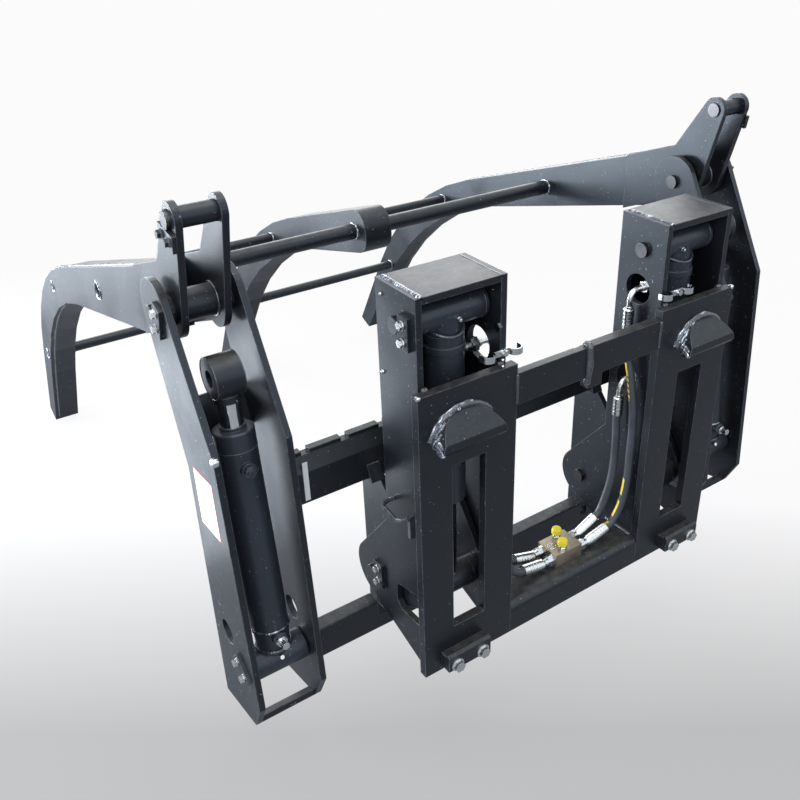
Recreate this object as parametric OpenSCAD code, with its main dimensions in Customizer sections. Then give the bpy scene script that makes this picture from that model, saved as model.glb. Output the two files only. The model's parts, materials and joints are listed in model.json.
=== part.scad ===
/* [Plates and pins] */
// Thickness of the structural steel plates
plate_t = 12; // [10:1:13]
// Diameter of every pivot pin
pin_d = 30; // [26:1:34]
// Radial running clearance between a pin and its bore
pin_clear = 0.05; // [0.02:0.01:0.1]
// Clearance between faces of pieces that move past each other
side_clear = 3; // [1:0.5:4]

/* [Rear mount] */
// Distance from the middle of the clamp to the centre of each column
column_x = 280; // [270:1:290]
// Width of a column over its two side plates
column_w = 180; // [172:1:188]
// Height of the column tops above the bottom of the hook plates
column_h = 775; // [765:1:800]
// Distance from the mounting face to the front edge of the column side plates
column_y = 135; // [130:1:140]
// Height at which the closed front of a column ends
front_web_z = 530; // [500:5:560]
// Height at which the slope down to the ear starts
ear_slope_z = 292; // [270:1:310]
// Radius of the ear round the hinge
ear_r = 60; // [54:1:62]
// Distance of the hinge axis in front of the mounting face
hinge_y = 200; // [195:1:205]
// Height of the hinge axis
hinge_z = 120; // [116:1:124]
// Furthest forward tilt of the front frame, in degrees
tilt_max = 30; // [20:1:32]

/* [Hook plates] */
// Thickness of a hook plate
hook_plate_t = 18; // [16:1:20]
// Width of a hook plate
hook_plate_w = 205; // [200:1:210]
// Height of a hook plate
hook_plate_h = 613; // [606:1:625]
// Width of the window in a hook plate
window_w = 72; // [60:1:90]
// Height of the bottom of the window
window_z0 = 94; // [88:1:110]
// Height of the top of the window
window_z1 = 460; // [440:1:480]

/* [Carriage hooks] */
// Distance from the middle to the centre of an upper hook
hook_x = 293; // [285:1:300]
// Width of an upper hook at the plate
hook_w = 131; // [120:1:140]
// Height of the carriage bar that the hooks take, from lower hook ledge to upper hook ceiling
carriage_h = 478; // [476:1:480]
// Height of the ledge of the lower hooks
lower_ledge_z = 45; // [40:1:46]
// Height of the crown of the upper hook over its ceiling
hook_crown = 50; // [44:1:54]
// Reach of the hooks behind the mounting face
hook_reach = 38; // [34:1:42]
// Depth of the slot between the mounting face and the hook's lip
hook_slot = 17; // [15:0.5:19]
// Drop of the hook's lip under its ceiling
hook_lip = 14; // [10:1:18]
// Width of a lower hook bar
lower_hook_w = 98; // [90:1:110]
// Thickness of a lower hook bar, from front to back
lower_hook_t = 27; // [26:1:32]
// Rise of the lower hook's lip over its ledge
lower_lip = 7; // [6:1:12]

/* [Cross members of the rear mount] */
// Height of the bottom of the upper cross bar
cross_bar_z = 532; // [526:1:545]
// Height of the upper cross bar's section
cross_bar_h = 62; // [56:1:70]
// Thickness of the left length of the upper cross bar
cross_bar_t = 14; // [12:1:16]
// Thickness of the right length of the upper cross bar
cross_bar_t2 = 20; // [18:1:24]
// Height of the bent lower cross beam
beam_h = 66; // [60:1:72]
// Reach of the ledge of the lower cross beam
beam_y = 100; // [96:1:104]
// Outer radius of the bend in the lower cross beam
beam_bend = 16; // [13:1:20]

/* [Valve block and hoses] */
// Length of the valve block
block_l = 72; // [68:1:76]
// Depth of the valve block
block_d = 58; // [54:1:62]
// Height of the valve block
block_h = 31; // [29:1:33]
// Distance of the rear face of the valve block from the mounting face
block_y = 34; // [32:1:36]
// Outer diameter of a hose
hose_d = 17; // [15:1:18]
// Diameter of the ferrules at the hose ends
ferrule_d = 23; // [21:1:24]
// Outer diameter of the steel elbows on the tilt barrels
elbow_d = 15; // [13:1:17]

/* [Tilt cylinders] */
// Distance of the head pin in front of the mounting face
head_y = 74; // [70:1:76]
// Drop of the head pin under the column top
head_drop = 62; // [58:1:66]
// Distance of the lever pin in front of the mounting face
lever_y = 68; // [66:1:72]
// Height of the lever pin
lever_z = 145; // [140:1:150]
// Outer diameter of the head tube
head_tube_d = 58; // [54:1:60]
// Outer diameter of the tilt barrel
tilt_barrel_d = 71; // [68:1:74]
// Inner diameter of the tilt barrel
tilt_bore_d = 55; // [52:1:58]
// Distance from the head pin to the rod end of the tilt barrel
tilt_barrel_l = 367; // [360:1:380]
// Diameter of the tilt rod
tilt_rod_d = 35; // [32:1:38]
// Outer diameter of the tilt rod's eye tube
tilt_eye_d = 56; // [52:1:58]
// Length of the tilt rod's eye tube
tilt_eye_l = 90; // [80:1:100]
// Radial play between the lever pin and the rod eye, which opens the loop of pivots
lever_play = 5; // [4.5:0.5:5]

/* [Front frame] */
// Distance of the rear face of the fork bars from the mounting face
bar_y = 185; // [182:1:188]
// Depth of the fork bars from rear to front
bar_t = 35; // [32:1:38]
// Height of the bottom of the upper fork bar
upper_bar_z = 353; // [348:1:358]
// Height of the upper fork bar
upper_bar_h = 99; // [92:1:106]
// Height of the top of the lower fork bar
lower_bar_top = 48; // [46:1:50]
// Height of the lower fork bar
lower_bar_h = 72; // [68:1:76]
// Thickness of the lip on top of the upper fork bar
bar_lip_t = 16; // [14:1:18]
// Height of the sloped relief behind that lip
bar_relief_h = 33; // [28:1:38]
// Distance between neighbouring fork notches
notch_pitch = 80; // [70:2:90]
// Length of a fork notch
notch_w = 16; // [12:1:20]
// Outer diameter of the hinge hub tube
hinge_hub_d = 55; // [50:1:58]

/* [Cheeks] */
// Distance from the middle to the inner face of the inner cheek
cheek_in = 538; // [534:1:542]
// Clear width between the inner and the outer cheek
cheek_gap = 113; // [109:1:117]
// Distance of the clamp pivot in front of the mounting face
pivot_y = 315; // [311:1:319]
// Height of the clamp pivot
pivot_z = 728; // [724:1:732]
// Radius of the cheek's top round the clamp pivot
cheek_r = 58; // [50:1:60]
// Diameter of the lightening hole in a cheek
cheek_hole_d = 50; // [44:1:54]

/* [Clamp cylinders] */
// Distance of the base pin in front of the mounting face
base_y = 172; // [168:1:174]
// Height of the base pin
base_z = 56; // [53:1:60]
// Lean of the cylinder towards the front, in degrees
clamp_lean = 6; // [5.5:0.25:7]
// Outer diameter of the base tube
base_tube_d = 60; // [56:1:62]
// Outer diameter of the clamp barrel
clamp_barrel_d = 70; // [66:1:72]
// Inner diameter of the clamp barrel
clamp_bore_d = 56; // [52:1:58]
// Distance from the base pin to the rod end of the clamp barrel
clamp_barrel_l = 480; // [474:1:488]
// Diameter of the clamp rod
clamp_rod_d = 40; // [36:1:42]
// Distance from the base pin to the middle of the retracted rod eye
clamp_eye_at = 576; // [570:1:582]
// Outer diameter of the rod eye
clamp_eye_d = 74; // [70:1:75]
// Width of the rod eye
clamp_eye_w = 48; // [44:1:52]

/* [Clamp] */
// Outer diameter of the clamp hub tube
clamp_hub_d = 56; // [52:1:60]
// Gap between the two plates of a lever
lever_gap = 60; // [58:1:64]
// Distance of the clevis pin in front of the mounting face
clevis_y = 247; // [245:1:249]
// Height of the clevis pin
clevis_z = 897; // [894:1:902]
// Radius of the top of a lever
lever_top_r = 27; // [24:1:29]
// Radius of the bottom of a lever round the pivot
lever_low_r = 50; // [46:1:52]
// Wall of the spacer sleeve on the clevis pin
sleeve_t = 2; // [1.5:0.5:2]
// Thickness of the bands and inner walls of a tine
band_t = 8; // [6:1:10]
// Reach of the tine tips in front of the mounting face
tip_y = 1892; // [1860:1:1920]
// Height of the tine tips
tip_z = -210; // [-230:1:-190]
// Wall of the cross tubes
tube_t = 4; // [3:0.5:6]
// Diameter of the rear cross tube
tube_rear_d = 38; // [34:1:42]
// Diameter of the front cross tube
tube_front_d = 28; // [24:1:32]
// Diameter of the cross tube near the tips
tube_tip_d = 30; // [26:1:34]

/* [Hidden] */
$fn = 48;

pin_r = pin_d / 2;
bore_r = pin_r + pin_clear;
column_in = column_x - column_w / 2;
column_out = column_x + column_w / 2;
hook_plate_in = column_x - hook_plate_w / 2;
bar_front = bar_y + bar_t;
head_z = column_h - head_drop;
cheek_out = cheek_in + cheek_gap + 2 * plate_t;
pin_stand = 8;
lock_t = 8;

// Slope of the ear's lower edge, which touches the ear round and starts at the column's foot
ear_span = sqrt(pow(hinge_y - hook_plate_t, 2) + hinge_z * hinge_z);
ear_slope = atan2(hinge_z, hinge_y - hook_plate_t) - asin(ear_r / ear_span);
// Slope of the ear's upper edge
ear_up_span = sqrt(pow(hinge_y - column_y, 2) + pow(ear_slope_z - hinge_z, 2));
ear_up = atan2(ear_slope_z - hinge_z, hinge_y - column_y) - asin(ear_r / ear_up_span);
// Floor of the notches that keep the lower fork bar clear of the ears over the whole tilt
notch_gap = 3;
swing_slope = ear_slope + tilt_max;
notch_floor = hinge_z + ((bar_y - hinge_y) * sin(swing_slope) - ear_r - notch_gap) / cos(swing_slope);

// Lean of the tilt cylinder towards the mounting face, from head pin to lever pin
tilt_l = sqrt(pow(head_z - lever_z, 2) + pow(head_y - lever_y, 2));
tilt_lean = atan2(head_y - lever_y, head_z - lever_z);

bar_half = cheek_in;
cheek_mid = (cheek_in + cheek_out) / 2;
lever_in = cheek_mid - lever_gap / 2 - plate_t;
lever_out = cheek_mid + lever_gap / 2 + plate_t;
tine_in = lever_in + plate_t;
tine_w = lever_gap + plate_t;
sleeve_r = pin_r + 0.1 + sleeve_t;

// Rounds each corner [y, z, radius] of a closed outline
function corner(a, p, b) =
    let (u = (a - p) / norm(a - p), v = (b - p) / norm(b - p), half = acos(u * v) / 2)
    [u, v, half];
function fillet(prev, at, next) =
    at[2] == 0 ? [[at[0], at[1]]] :
    let (p = [at[0], at[1]],
         c = corner([prev[0], prev[1]], p, [next[0], next[1]]),
         side = cross([c[0][0], c[0][1], 0], [c[1][0], c[1][1], 0])[2] > 0 ? 1 : -1,
         centre = p + (c[0] + c[1]) / norm(c[0] + c[1]) * at[2] / sin(c[2]),
         start = p + c[0] * at[2] / tan(c[2]) - centre,
         turn = side * (180 - 2 * c[2]),
         steps = max(2, ceil(abs(turn) / 7.5)))
    [for (i = [0:steps]) let (t = -turn * i / steps)
        centre + [start[0] * cos(t) - start[1] * sin(t), start[0] * sin(t) + start[1] * cos(t)]];
function rounded(pts) =
    [for (i = [0:len(pts) - 1])
        each fillet(pts[(i + len(pts) - 1) % len(pts)], pts[i], pts[(i + 1) % len(pts)])];
function arc(y, z, r, a0, a1, n = 12) =
    [for (i = [0:n]) let (a = a0 + (a1 - a0) * i / n) [y + r * cos(a), z + r * sin(a)]];

// Plate cut from a side outline, from x0 outwards on side s (-1 left, 1 right)
module slab(s, x0, t) {
    translate([s > 0 ? x0 : -x0 - t, 0, 0])
        rotate([90, 0, 90]) linear_extrude(t) children();
}
// Round bar across the clamp, from x0 outwards on side s
module round_x(s, x0, l, y, z, r) {
    translate([s > 0 ? x0 : -x0 - l, y, z]) rotate([0, 90, 0]) cylinder(h = l, r = r);
}
// Tube across the clamp
module tube_x(s, x0, l, y, z, r, hole) {
    difference() {
        round_x(s, x0, l, y, z, r);
        round_x(s, x0 - 1, l + 2, y, z, hole);
    }
}

/* Rear mount */
inner_hole_r = 31;
port_upper = [79, head_z - 83];
port_lower = [84, head_z - 286];
cut_out = [[111, 150, 9], [37, 169, 9], [32, 98, 9], [99, 93, 9], [113, 108, 9]];

function ear_outline() = concat(
    [[hook_plate_t, 0], [hook_plate_t, column_h], [column_y, column_h], [column_y, ear_slope_z]],
    arc(hinge_y, hinge_z, ear_r, 90 - ear_up, ear_slope - 90, 16));

module column_side(s, x0, outer) {
    difference() {
        slab(s, x0, plate_t) polygon(ear_outline());
        round_x(s, x0 - 1, plate_t + 2, hinge_y, hinge_z, bore_r);
        round_x(s, x0 - 1, plate_t + 2, head_y, head_z, bore_r);
        if (outer)
            slab(s, x0 - 1, plate_t + 2) polygon(rounded(cut_out));
        else
            for (p = [port_upper, port_lower])
                round_x(s, x0 - 1, plate_t + 2, p[0], p[1], inner_hole_r);
    }
}
module side_plates(s) {
    column_side(s, column_out - plate_t, true);
    column_side(s, column_in, false);
}
module side_plates_left() { color([0.09, 0.09, 0.1]) side_plates(-1); }
module side_plates_right() { color([0.09, 0.09, 0.1]) side_plates(1); }
module column_caps() {
    color([0.12, 0.12, 0.12]) for (s = [-1, 1])
        translate([s * column_x, 0, column_h - plate_t])
            translate([-column_w / 2 + plate_t, hook_plate_t, 0])
                cube([column_w - 2 * plate_t, column_y - hook_plate_t, plate_t]);
}
module column_front_webs() {
    color([0.09, 0.09, 0.1]) for (s = [-1, 1])
        translate([s * column_x - column_w / 2 + plate_t, column_y - plate_t, front_web_z])
            cube([column_w - 2 * plate_t, plate_t, column_h - plate_t - front_web_z]);
}
module hook_plates() {
    color([0.09, 0.09, 0.1]) for (s = [-1, 1]) difference() {
        translate([s * column_x - hook_plate_w / 2, 0, 0])
            cube([hook_plate_w, hook_plate_t, hook_plate_h]);
        translate([s * column_x - window_w / 2, -1, window_z0])
            cube([window_w, hook_plate_t + 2, window_z1 - window_z0]);
    }
}

// Upper hook: half-moon seen from behind, hook profile seen from the side
hook_ceiling = lower_ledge_z + carriage_h;
hook_crown_r = (hook_w * hook_w / 4 + hook_crown * hook_crown) / (2 * hook_crown);
hook_half = asin(hook_w / 2 / hook_crown_r);
hook_nose_up = 10;
hook_nose_down = 4;
hook_bevel = 8;
function moon() = concat(
    [for (i = [0:20]) let (a = -hook_half + 2 * hook_half * i / 20)
        [hook_crown_r * sin(a), hook_ceiling + hook_crown - hook_crown_r * (1 - cos(a))]],
    [[hook_w / 2, hook_ceiling - hook_lip], [-hook_w / 2, hook_ceiling - hook_lip]]);
module upper_hooks() {
    color([0.1, 0.1, 0.11]) for (s = [-1, 1]) intersection() {
        translate([s * hook_x, 0, 0]) rotate([90, 0, 0]) linear_extrude(hook_reach) polygon(moon());
        translate([s * hook_x - hook_w / 2, 0, 0]) rotate([90, 0, 90]) linear_extrude(hook_w)
            polygon(rounded([[0, hook_ceiling, 0], [0, hook_ceiling + hook_crown, 0],
                             [-hook_reach, hook_ceiling + hook_nose_up, 4],
                             [-hook_reach, hook_ceiling - hook_nose_down, 4],
                             [-hook_reach + hook_bevel, hook_ceiling - hook_lip, 2],
                             [-hook_slot, hook_ceiling - hook_lip, 2],
                             [-hook_slot, hook_ceiling, 3]]));
    }
}

// Lower hook bars with their flange bolts
bolt_gap = 60;
bolt_z = 25;
bolt_shank_r = 8;
lower_hook_x = 297;
lower_hook_z = 12;
lower_slot = hook_slot - 2;
lip_bevel = [8, 6];
module lower_hooks() {
    color([0.09, 0.09, 0.1]) for (s = [-1, 1]) difference() {
        translate([s * lower_hook_x - lower_hook_w / 2, 0, 0]) rotate([90, 0, 90])
            linear_extrude(lower_hook_w)
                polygon(rounded([[0, lower_hook_z, 0], [0, lower_ledge_z, 0],
                                 [-lower_slot, lower_ledge_z, 1],
                                 [-lower_hook_t + lip_bevel[0], lower_ledge_z + lower_lip, 3],
                                 [-lower_hook_t, lower_ledge_z + lower_lip - lip_bevel[1], 3],
                                 [-lower_hook_t, lower_hook_z, 3]]));
        for (d = [-1, 1])
            translate([s * lower_hook_x + d * bolt_gap / 2, 1, bolt_z]) rotate([90, 0, 0])
                cylinder(h = lower_hook_t + 2, r = bolt_shank_r + 0.2);
    }
}
flange_t = 2;
module hex_bolt(head_w, head_h, flange_r, shank_r, shank_l) {
    cylinder(h = flange_t, r = flange_r);
    translate([0, 0, flange_t]) cylinder(h = head_h, r = head_w / sqrt(3), $fn = 6);
    translate([0, 0, -shank_l]) cylinder(h = shank_l, r = shank_r);
}
module lower_hook_bolts() {
    color([0.8, 0.8, 0.82]) for (s = [-1, 1], d = [-1, 1])
        translate([s * lower_hook_x + d * bolt_gap / 2, -lower_hook_t, bolt_z]) rotate([90, 0, 0])
            hex_bolt(20, 9, 14, bolt_shank_r, lower_hook_t);
}

// Cross members
splice_x = -8;
splice_foot_l = 35;
splice_foot_h = 25;
module upper_cross_bar() {
    color([0.08, 0.08, 0.09]) {
        translate([-hook_plate_in, 0, cross_bar_z])
            cube([hook_plate_in + splice_x, cross_bar_t, cross_bar_h]);
        difference() {
            translate([splice_x, 0, cross_bar_z - splice_foot_h])
                cube([hook_plate_in - splice_x, cross_bar_t2, cross_bar_h + splice_foot_h]);
            translate([splice_x + splice_foot_l, -1, cross_bar_z - splice_foot_h - 1])
                cube([hook_plate_in - splice_x - splice_foot_l + 1, cross_bar_t2 + 2, splice_foot_h + 1]);
        }
    }
}
module lower_cross_beam() {
    color([0.08, 0.08, 0.09]) slab(-1, -hook_plate_in, 2 * hook_plate_in)
        polygon(rounded([[0, 0, 0], [0, beam_h, beam_bend], [beam_y, beam_h, 0],
                         [beam_y, beam_h - plate_t, 0], [plate_t, beam_h - plate_t, beam_bend - plate_t],
                         [plate_t, 0, 0]]));
}

// Pins of the rear mount with their lock plates
module tilt_head_pins() {
    color([0.75, 0.75, 0.77]) for (s = [-1, 1])
        round_x(s, column_in - pin_stand, column_w + 2 * pin_stand, head_y, head_z, pin_r);
}
module hinge_pins() {
    color([0.75, 0.75, 0.77]) for (s = [-1, 1])
        round_x(s, column_in - pin_stand, column_w + 2 * pin_stand, hinge_y, hinge_z, pin_r);
}
// Lock plate that sits in a flat of the pin end, with two bolts
lock_w = 28;
lock_l = 58;
lock_gap = 0.3;
lock_bolt_pitch = 31;
lock_bolt_r = 4;
// Moves its children beside a pin end; k is [x, y, z, turn round the pin, shift along the plate]
module beside_pin(s, k) {
    translate([s * k[0], k[1], k[2]]) rotate([k[3], 0, 0]) translate([0, k[4], pin_r + lock_gap])
        children();
}
module lock_plate(s, k) {
    beside_pin(s, k) difference() {
        translate([s > 0 ? 0 : -lock_t, -lock_l / 2, 0]) cube([lock_t, lock_l, lock_w]);
        for (d = [-1, 1])
            translate([0, d * lock_bolt_pitch / 2, lock_w / 2]) rotate([0, 90, 0])
                cylinder(h = 3 * lock_t, r = lock_bolt_r + pin_clear, center = true);
    }
}
module lock_bolts(s, k) {
    beside_pin(s, k) for (d = [-1, 1])
        translate([s * lock_t, d * lock_bolt_pitch / 2, lock_w / 2]) rotate([0, s * 90, 0])
            hex_bolt(13, 6, 8, lock_bolt_r, lock_t);
}
rear_locks = [[column_out, head_y, head_z, 90, -3], [column_out, hinge_y, hinge_z, 90, 13]];
module rear_lock_plates() {
    color([0.12, 0.12, 0.13]) for (s = [-1, 1], k = rear_locks) lock_plate(s, k);
}
module rear_lock_bolts() {
    color([0.8, 0.8, 0.82]) for (s = [-1, 1], k = rear_locks) lock_bolts(s, k);
}

// Valve block on the ledge
block_x = 8;
port_in = 12;
port_pitch = 32;
port_ys = [block_y + port_in, block_y + port_in + port_pitch];
port_z = beam_h + block_h / 2;
fitting_l = 30;
fitting_hex_r = 12;
fitting_r = 8;
// Valve caps, from the middle of the block and its rear edge
cap_at = [[4, 46], [-6, 12]];
cap_h = 9;
cap_r = 11;
cap_top_h = 5;
cap_top_r = 8;
module valve_block() {
    color([0.72, 0.6, 0.4]) translate([block_x - block_l / 2, block_y, beam_h])
        cube([block_l, block_d, block_h]);
}
module valve_caps() {
    color([0.95, 0.78, 0.05]) for (p = cap_at)
        translate([block_x + p[0], block_y + p[1], beam_h + block_h]) {
            cylinder(h = cap_h, r = cap_r);
            translate([0, 0, cap_h]) cylinder(h = cap_top_h, r = cap_top_r, $fn = 6);
        }
}
// Hoses: each route runs from its ferrule on a cylinder port to a fitting of the block
function unit(v) = v / norm(v);
function tangent(pts, i) = unit(pts[min(i + 1, len(pts) - 1)] - pts[max(i - 1, 0)]);
function carry(pts, i) =
    i == 0 ? unit(cross(tangent(pts, 0), [0, 1, 0.01])) :
    let (t = tangent(pts, i), n = carry(pts, i - 1)) unit(n - t * (n * t));
module sweep(pts, r, sides = 10) {
    n = len(pts);
    rings = [for (i = [0:n - 1]) let (t = tangent(pts, i), u = carry(pts, i), v = cross(t, u))
        each [for (k = [0:sides - 1]) let (a = 360 * k / sides) pts[i] + (u * cos(a) + v * sin(a)) * r]];
    polyhedron(points = rings, faces = concat(
        [[for (k = [0:sides - 1]) k]],
        [for (i = [0:n - 2], k = [0:sides - 1]) let (a = i * sides + k, b = i * sides + (k + 1) % sides)
            [a, a + sides, b + sides, b]],
        [[for (k = [sides - 1:-1:0]) (n - 1) * sides + k]]));
}
elbow_x = 170;
elbow_bend = 20;
elbow_drop = 61;
swing_gap = 3;
straight_l = 15;
ferrule_l = 52;
ferrule_gap = 0.05;
function adapter_tip(i) =
    let (s = i < 2 ? 1 : -1) [block_x + s * (block_l / 2 + fitting_l), port_ys[i % 2], port_z];
function hose_end(i, last) = adapter_tip(i) + unit(last - adapter_tip(i)) * ferrule_l;
// Straight under the elbow's ferrule, then the given points, then in line with the block's ferrule
function route(i, port, way) =
    let (s = i < 2 ? 1 : -1, top = port[1] - elbow_bend - elbow_drop - swing_gap)
    concat([[s * elbow_x, port[0], top], [s * elbow_x, port[0], top - straight_l]], way,
           [hose_end(i, way[len(way) - 1])]);
route_right_upper = route(0, port_upper, [[171, 71, 495], [172, 60, 455], [172, 51, 415],
    [172, 44, 380], [172, 41, 340], [172, 40, 300], [172, 40, 260], [172, 40, 220],
    [171, 41, 188], [168, 43, 157], [161, 45, 130], [150, 46, 110], [137, 46, 98]]);
route_right_lower = route(1, port_lower, [[168, 80, 300], [166, 77, 270], [164, 75, 240],
    [161, 74, 212], [156, 74, 182], [150, 76, 155], [144, 77, 135], [138, 78, 119],
    [129, 78, 107]]);
route_left_upper = route(2, port_upper, [[-171, 73, 490], [-172, 64, 450], [-172, 56, 410],
    [-172, 50, 370], [-172, 47, 325], [-171, 46, 280], [-170, 46, 240], [-168, 46, 200],
    [-161, 46, 162], [-151, 46, 131], [-138, 46, 107], [-121, 46, 93]]);
route_left_lower = route(3, port_lower, [[-170, 84, 285], [-168, 83, 250], [-165, 82, 215],
    [-159, 81, 182], [-150, 80, 150], [-137, 79, 120], [-122, 78, 102]]);
routes = [route_right_upper, route_right_lower, route_left_upper, route_left_lower];
module hose(route) { color([0.1, 0.1, 0.1]) sweep(route, hose_d / 2); }
module hose_right_upper() { hose(route_right_upper); }
module hose_right_lower() { hose(route_right_lower); }
module hose_left_upper() { hose(route_left_upper); }
module hose_left_lower() { hose(route_left_lower); }

// Adapters screwed into the block, and the ferrules pressed on the hose ends
module along(a, b) {
    d = b - a;
    translate(a) rotate([0, acos(d[2] / norm(d)), atan2(d[1], d[0])]) children();
}
module hose_fittings() {
    color([0.82, 0.82, 0.84]) for (i = [0:3]) {
        s = i < 2 ? 1 : -1;
        tip = adapter_tip(i);
        translate(tip - [s * fitting_l, 0, 0]) rotate([0, s * 90, 0]) {
            cylinder(h = fitting_l / 2, r = fitting_hex_r, $fn = 6);
            cylinder(h = fitting_l, r = fitting_r);
        }
        translate(tip) sphere(r = ferrule_d / 2 - 1, $fn = 24);
        along(tip, routes[i][len(routes[i]) - 1])
            cylinder(h = ferrule_l - ferrule_gap, r = ferrule_d / 2);
    }
}

// Bent wire loop that guides the hoses of the truck
loop_wire = 4;
loop_out = 28;
loop_z = 348;
loop_ys = [47, 108];
loop_bar = [8, 8, 38];
module hose_guide_loop() {
    wire = [[0, loop_ys[1], 5], [12, loop_ys[1], 5], [22, loop_ys[1] - 3, 5],
        [loop_out, loop_ys[1] - 10, 4], [loop_out, (loop_ys[0] + loop_ys[1]) / 2, 2],
        [loop_out, loop_ys[0] + 10, 0], [22, loop_ys[0] + 3, 0], [12, loop_ys[0], 0], [0, loop_ys[0], 0]];
    color([0.12, 0.12, 0.13]) {
        sweep([for (w = wire) [-column_out - w[0], w[1], loop_z + w[2]]], loop_wire, 8);
        translate([-column_out - loop_bar[0], loop_ys[0] - loop_wire, loop_z - loop_wire - 2 - loop_bar[2]])
            cube(loop_bar);
    }
}

// Double hose clamps: strips bent to two seats, on the rear edges of the inner side plates
clamp_strap_t = 2.5;
clamp_strap_w = 12;
clamp_seat_r = 10.5;
clamp_seats = [-34, 24];
clamp_leg = 8;
clamp_strap_z = head_z - 85;
clamp_bolt_x = [-column_in - plate_t / 2, column_in + clamp_seat_r - clamp_seats[0]];
module clamp_strap() {
    out_r = clamp_seat_r + clamp_strap_t;
    difference() {
        union() {
            translate([clamp_seats[0], 0]) square([clamp_seats[1] - clamp_seats[0], clamp_strap_t]);
            for (x = clamp_seats) translate([x, 0]) circle(out_r);
        }
        for (x = clamp_seats) translate([x, 0]) circle(clamp_seat_r);
        translate([clamp_seats[0] - out_r, clamp_strap_t])
            square([clamp_seats[1] - clamp_seats[0] + 2 * out_r, out_r]);
    }
    for (x = [clamp_seats[0] - out_r, clamp_seats[1] + clamp_seat_r])
        translate([x, 0]) square([clamp_strap_t, clamp_leg]);
}
module hose_clamps() {
    color([0.82, 0.82, 0.84]) for (x = clamp_bolt_x)
        translate([x, hook_plate_t - clamp_strap_t, clamp_strap_z]) {
            linear_extrude(clamp_strap_w) clamp_strap();
            translate([0, 0, clamp_strap_w / 2]) rotate([90, 0, 0]) hex_bolt(10, 5, 6.5, 3, clamp_strap_t);
        }
}

/* Front frame */
lip_drop = 8;
first_notch = 48;
notches = 5;
module upper_fork_bar() {
    top = upper_bar_z + upper_bar_h;
    color([0.09, 0.09, 0.1]) difference() {
        slab(-1, -bar_half, 2 * bar_half)
            polygon(rounded([[bar_y, upper_bar_z, 4], [bar_y, top - bar_relief_h, 3],
                             [bar_front - bar_lip_t, top - lip_drop, 2], [bar_front - bar_lip_t, top, 1],
                             [bar_front, top, 2], [bar_front, upper_bar_z, 4]]));
        for (s = [-1, 1], i = [0:notches - 1])
            translate([s * (bar_half - first_notch - i * notch_pitch) - notch_w / 2,
                       bar_front - bar_lip_t - 1, top - lip_drop])
                cube([notch_w, bar_lip_t + 2, lip_drop + 1]);
    }
}
ear_notch = 4;
module lower_fork_bar() {
    bottom = lower_bar_top - lower_bar_h;
    color([0.09, 0.09, 0.1]) difference() {
        slab(-1, -bar_half, 2 * bar_half)
            polygon(rounded([[bar_y, bottom, 4], [bar_y, lower_bar_top, 4],
                             [bar_front, lower_bar_top, 4], [bar_front, bottom, 4]]));
        for (s = [-1, 1], x = [column_in, column_out - plate_t])
            translate([s * (x + plate_t / 2) - plate_t / 2 - ear_notch, bar_y - 1, notch_floor])
                cube([plate_t + 2 * ear_notch, bar_t + 2, lower_bar_top - notch_floor + 1]);
    }
}
hinge_plate_x = [column_in + plate_t + side_clear, column_out - 2 * plate_t - side_clear];
lever_r = 28;
lever_pin_r = pin_r - 2.5;
hinge_front = bar_front + 30;
hinge_slope = 28;
hinge_heel = [bar_y - 35, lower_bar_top + 14];
hinge_shoulder = [bar_y - 43, upper_bar_z - 48];
function hinge_plate_outline() = [
    [bar_y, upper_bar_z, 0], [bar_front, upper_bar_z, 0], [hinge_front, upper_bar_z - hinge_slope, 6],
    [hinge_front, 0, 6], [bar_front, 0, 0], [bar_front, lower_bar_top, 0],
    [bar_y, lower_bar_top, 0], [hinge_heel[0], hinge_heel[1], 10],
    [lever_y - 26, lever_z - 20, lever_r], [lever_y - 20, lever_z + 34, lever_r],
    [hinge_shoulder[0], hinge_shoulder[1], 10]];
module hinge_plates() {
    color([0.1, 0.1, 0.11]) for (s = [-1, 1], x = hinge_plate_x) difference() {
        slab(s, x, plate_t) polygon(rounded(hinge_plate_outline()));
        round_x(s, x - 1, plate_t + 2, hinge_y, hinge_z, bore_r);
        round_x(s, x - 1, plate_t + 2, lever_y, lever_z, lever_pin_r + pin_clear);
    }
}
hub_x = hinge_plate_x[0] + plate_t;
hub_l = hinge_plate_x[1] - hub_x;
module hinge_hubs() {
    color([0.1, 0.1, 0.11]) for (s = [-1, 1])
        tube_x(s, hub_x, hub_l, hinge_y, hinge_z, hinge_hub_d / 2, bore_r);
}

// Cheek profile, from the clamp pivot down to the base of the clamp cylinder
cheek_rear = pivot_y - 174;
cheek_bend_z = pivot_z - 196;
cheek_heel = [base_y - 65, base_z - 51];
cheek_foot = [[base_y - 32, base_z - 116], [base_y + 113, base_z - 148]];
cheek_front = [pivot_y - 37, pivot_z - 276];
cheek_hole = [base_y + 44, base_z + 62];
inner_hole_y = cheek_hole[0] - 11;
function cheek_outline() = concat(arc(pivot_y, pivot_z, cheek_r, -19, 158, 18),
    [[cheek_rear, cheek_bend_z], cheek_heel, cheek_foot[0], cheek_foot[1], cheek_front]);
module cheek(s, x0, hole_y) {
    difference() {
        slab(s, x0, plate_t) polygon(cheek_outline());
        round_x(s, x0 - 1, plate_t + 2, pivot_y, pivot_z, bore_r);
        round_x(s, x0 - 1, plate_t + 2, base_y, base_z, bore_r);
        round_x(s, x0 - 1, plate_t + 2, hole_y, cheek_hole[1], cheek_hole_d / 2);
    }
}
module outer_cheeks() {
    color([0.1, 0.1, 0.11]) for (s = [-1, 1]) cheek(s, cheek_out - plate_t, cheek_hole[0]);
}
module inner_cheeks() { color([0.1, 0.1, 0.11]) for (s = [-1, 1]) cheek(s, cheek_in, inner_hole_y); }
cheek_gap_x = cheek_in + plate_t;
spreader_t = 8;
foot_bar_w = 17;
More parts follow.
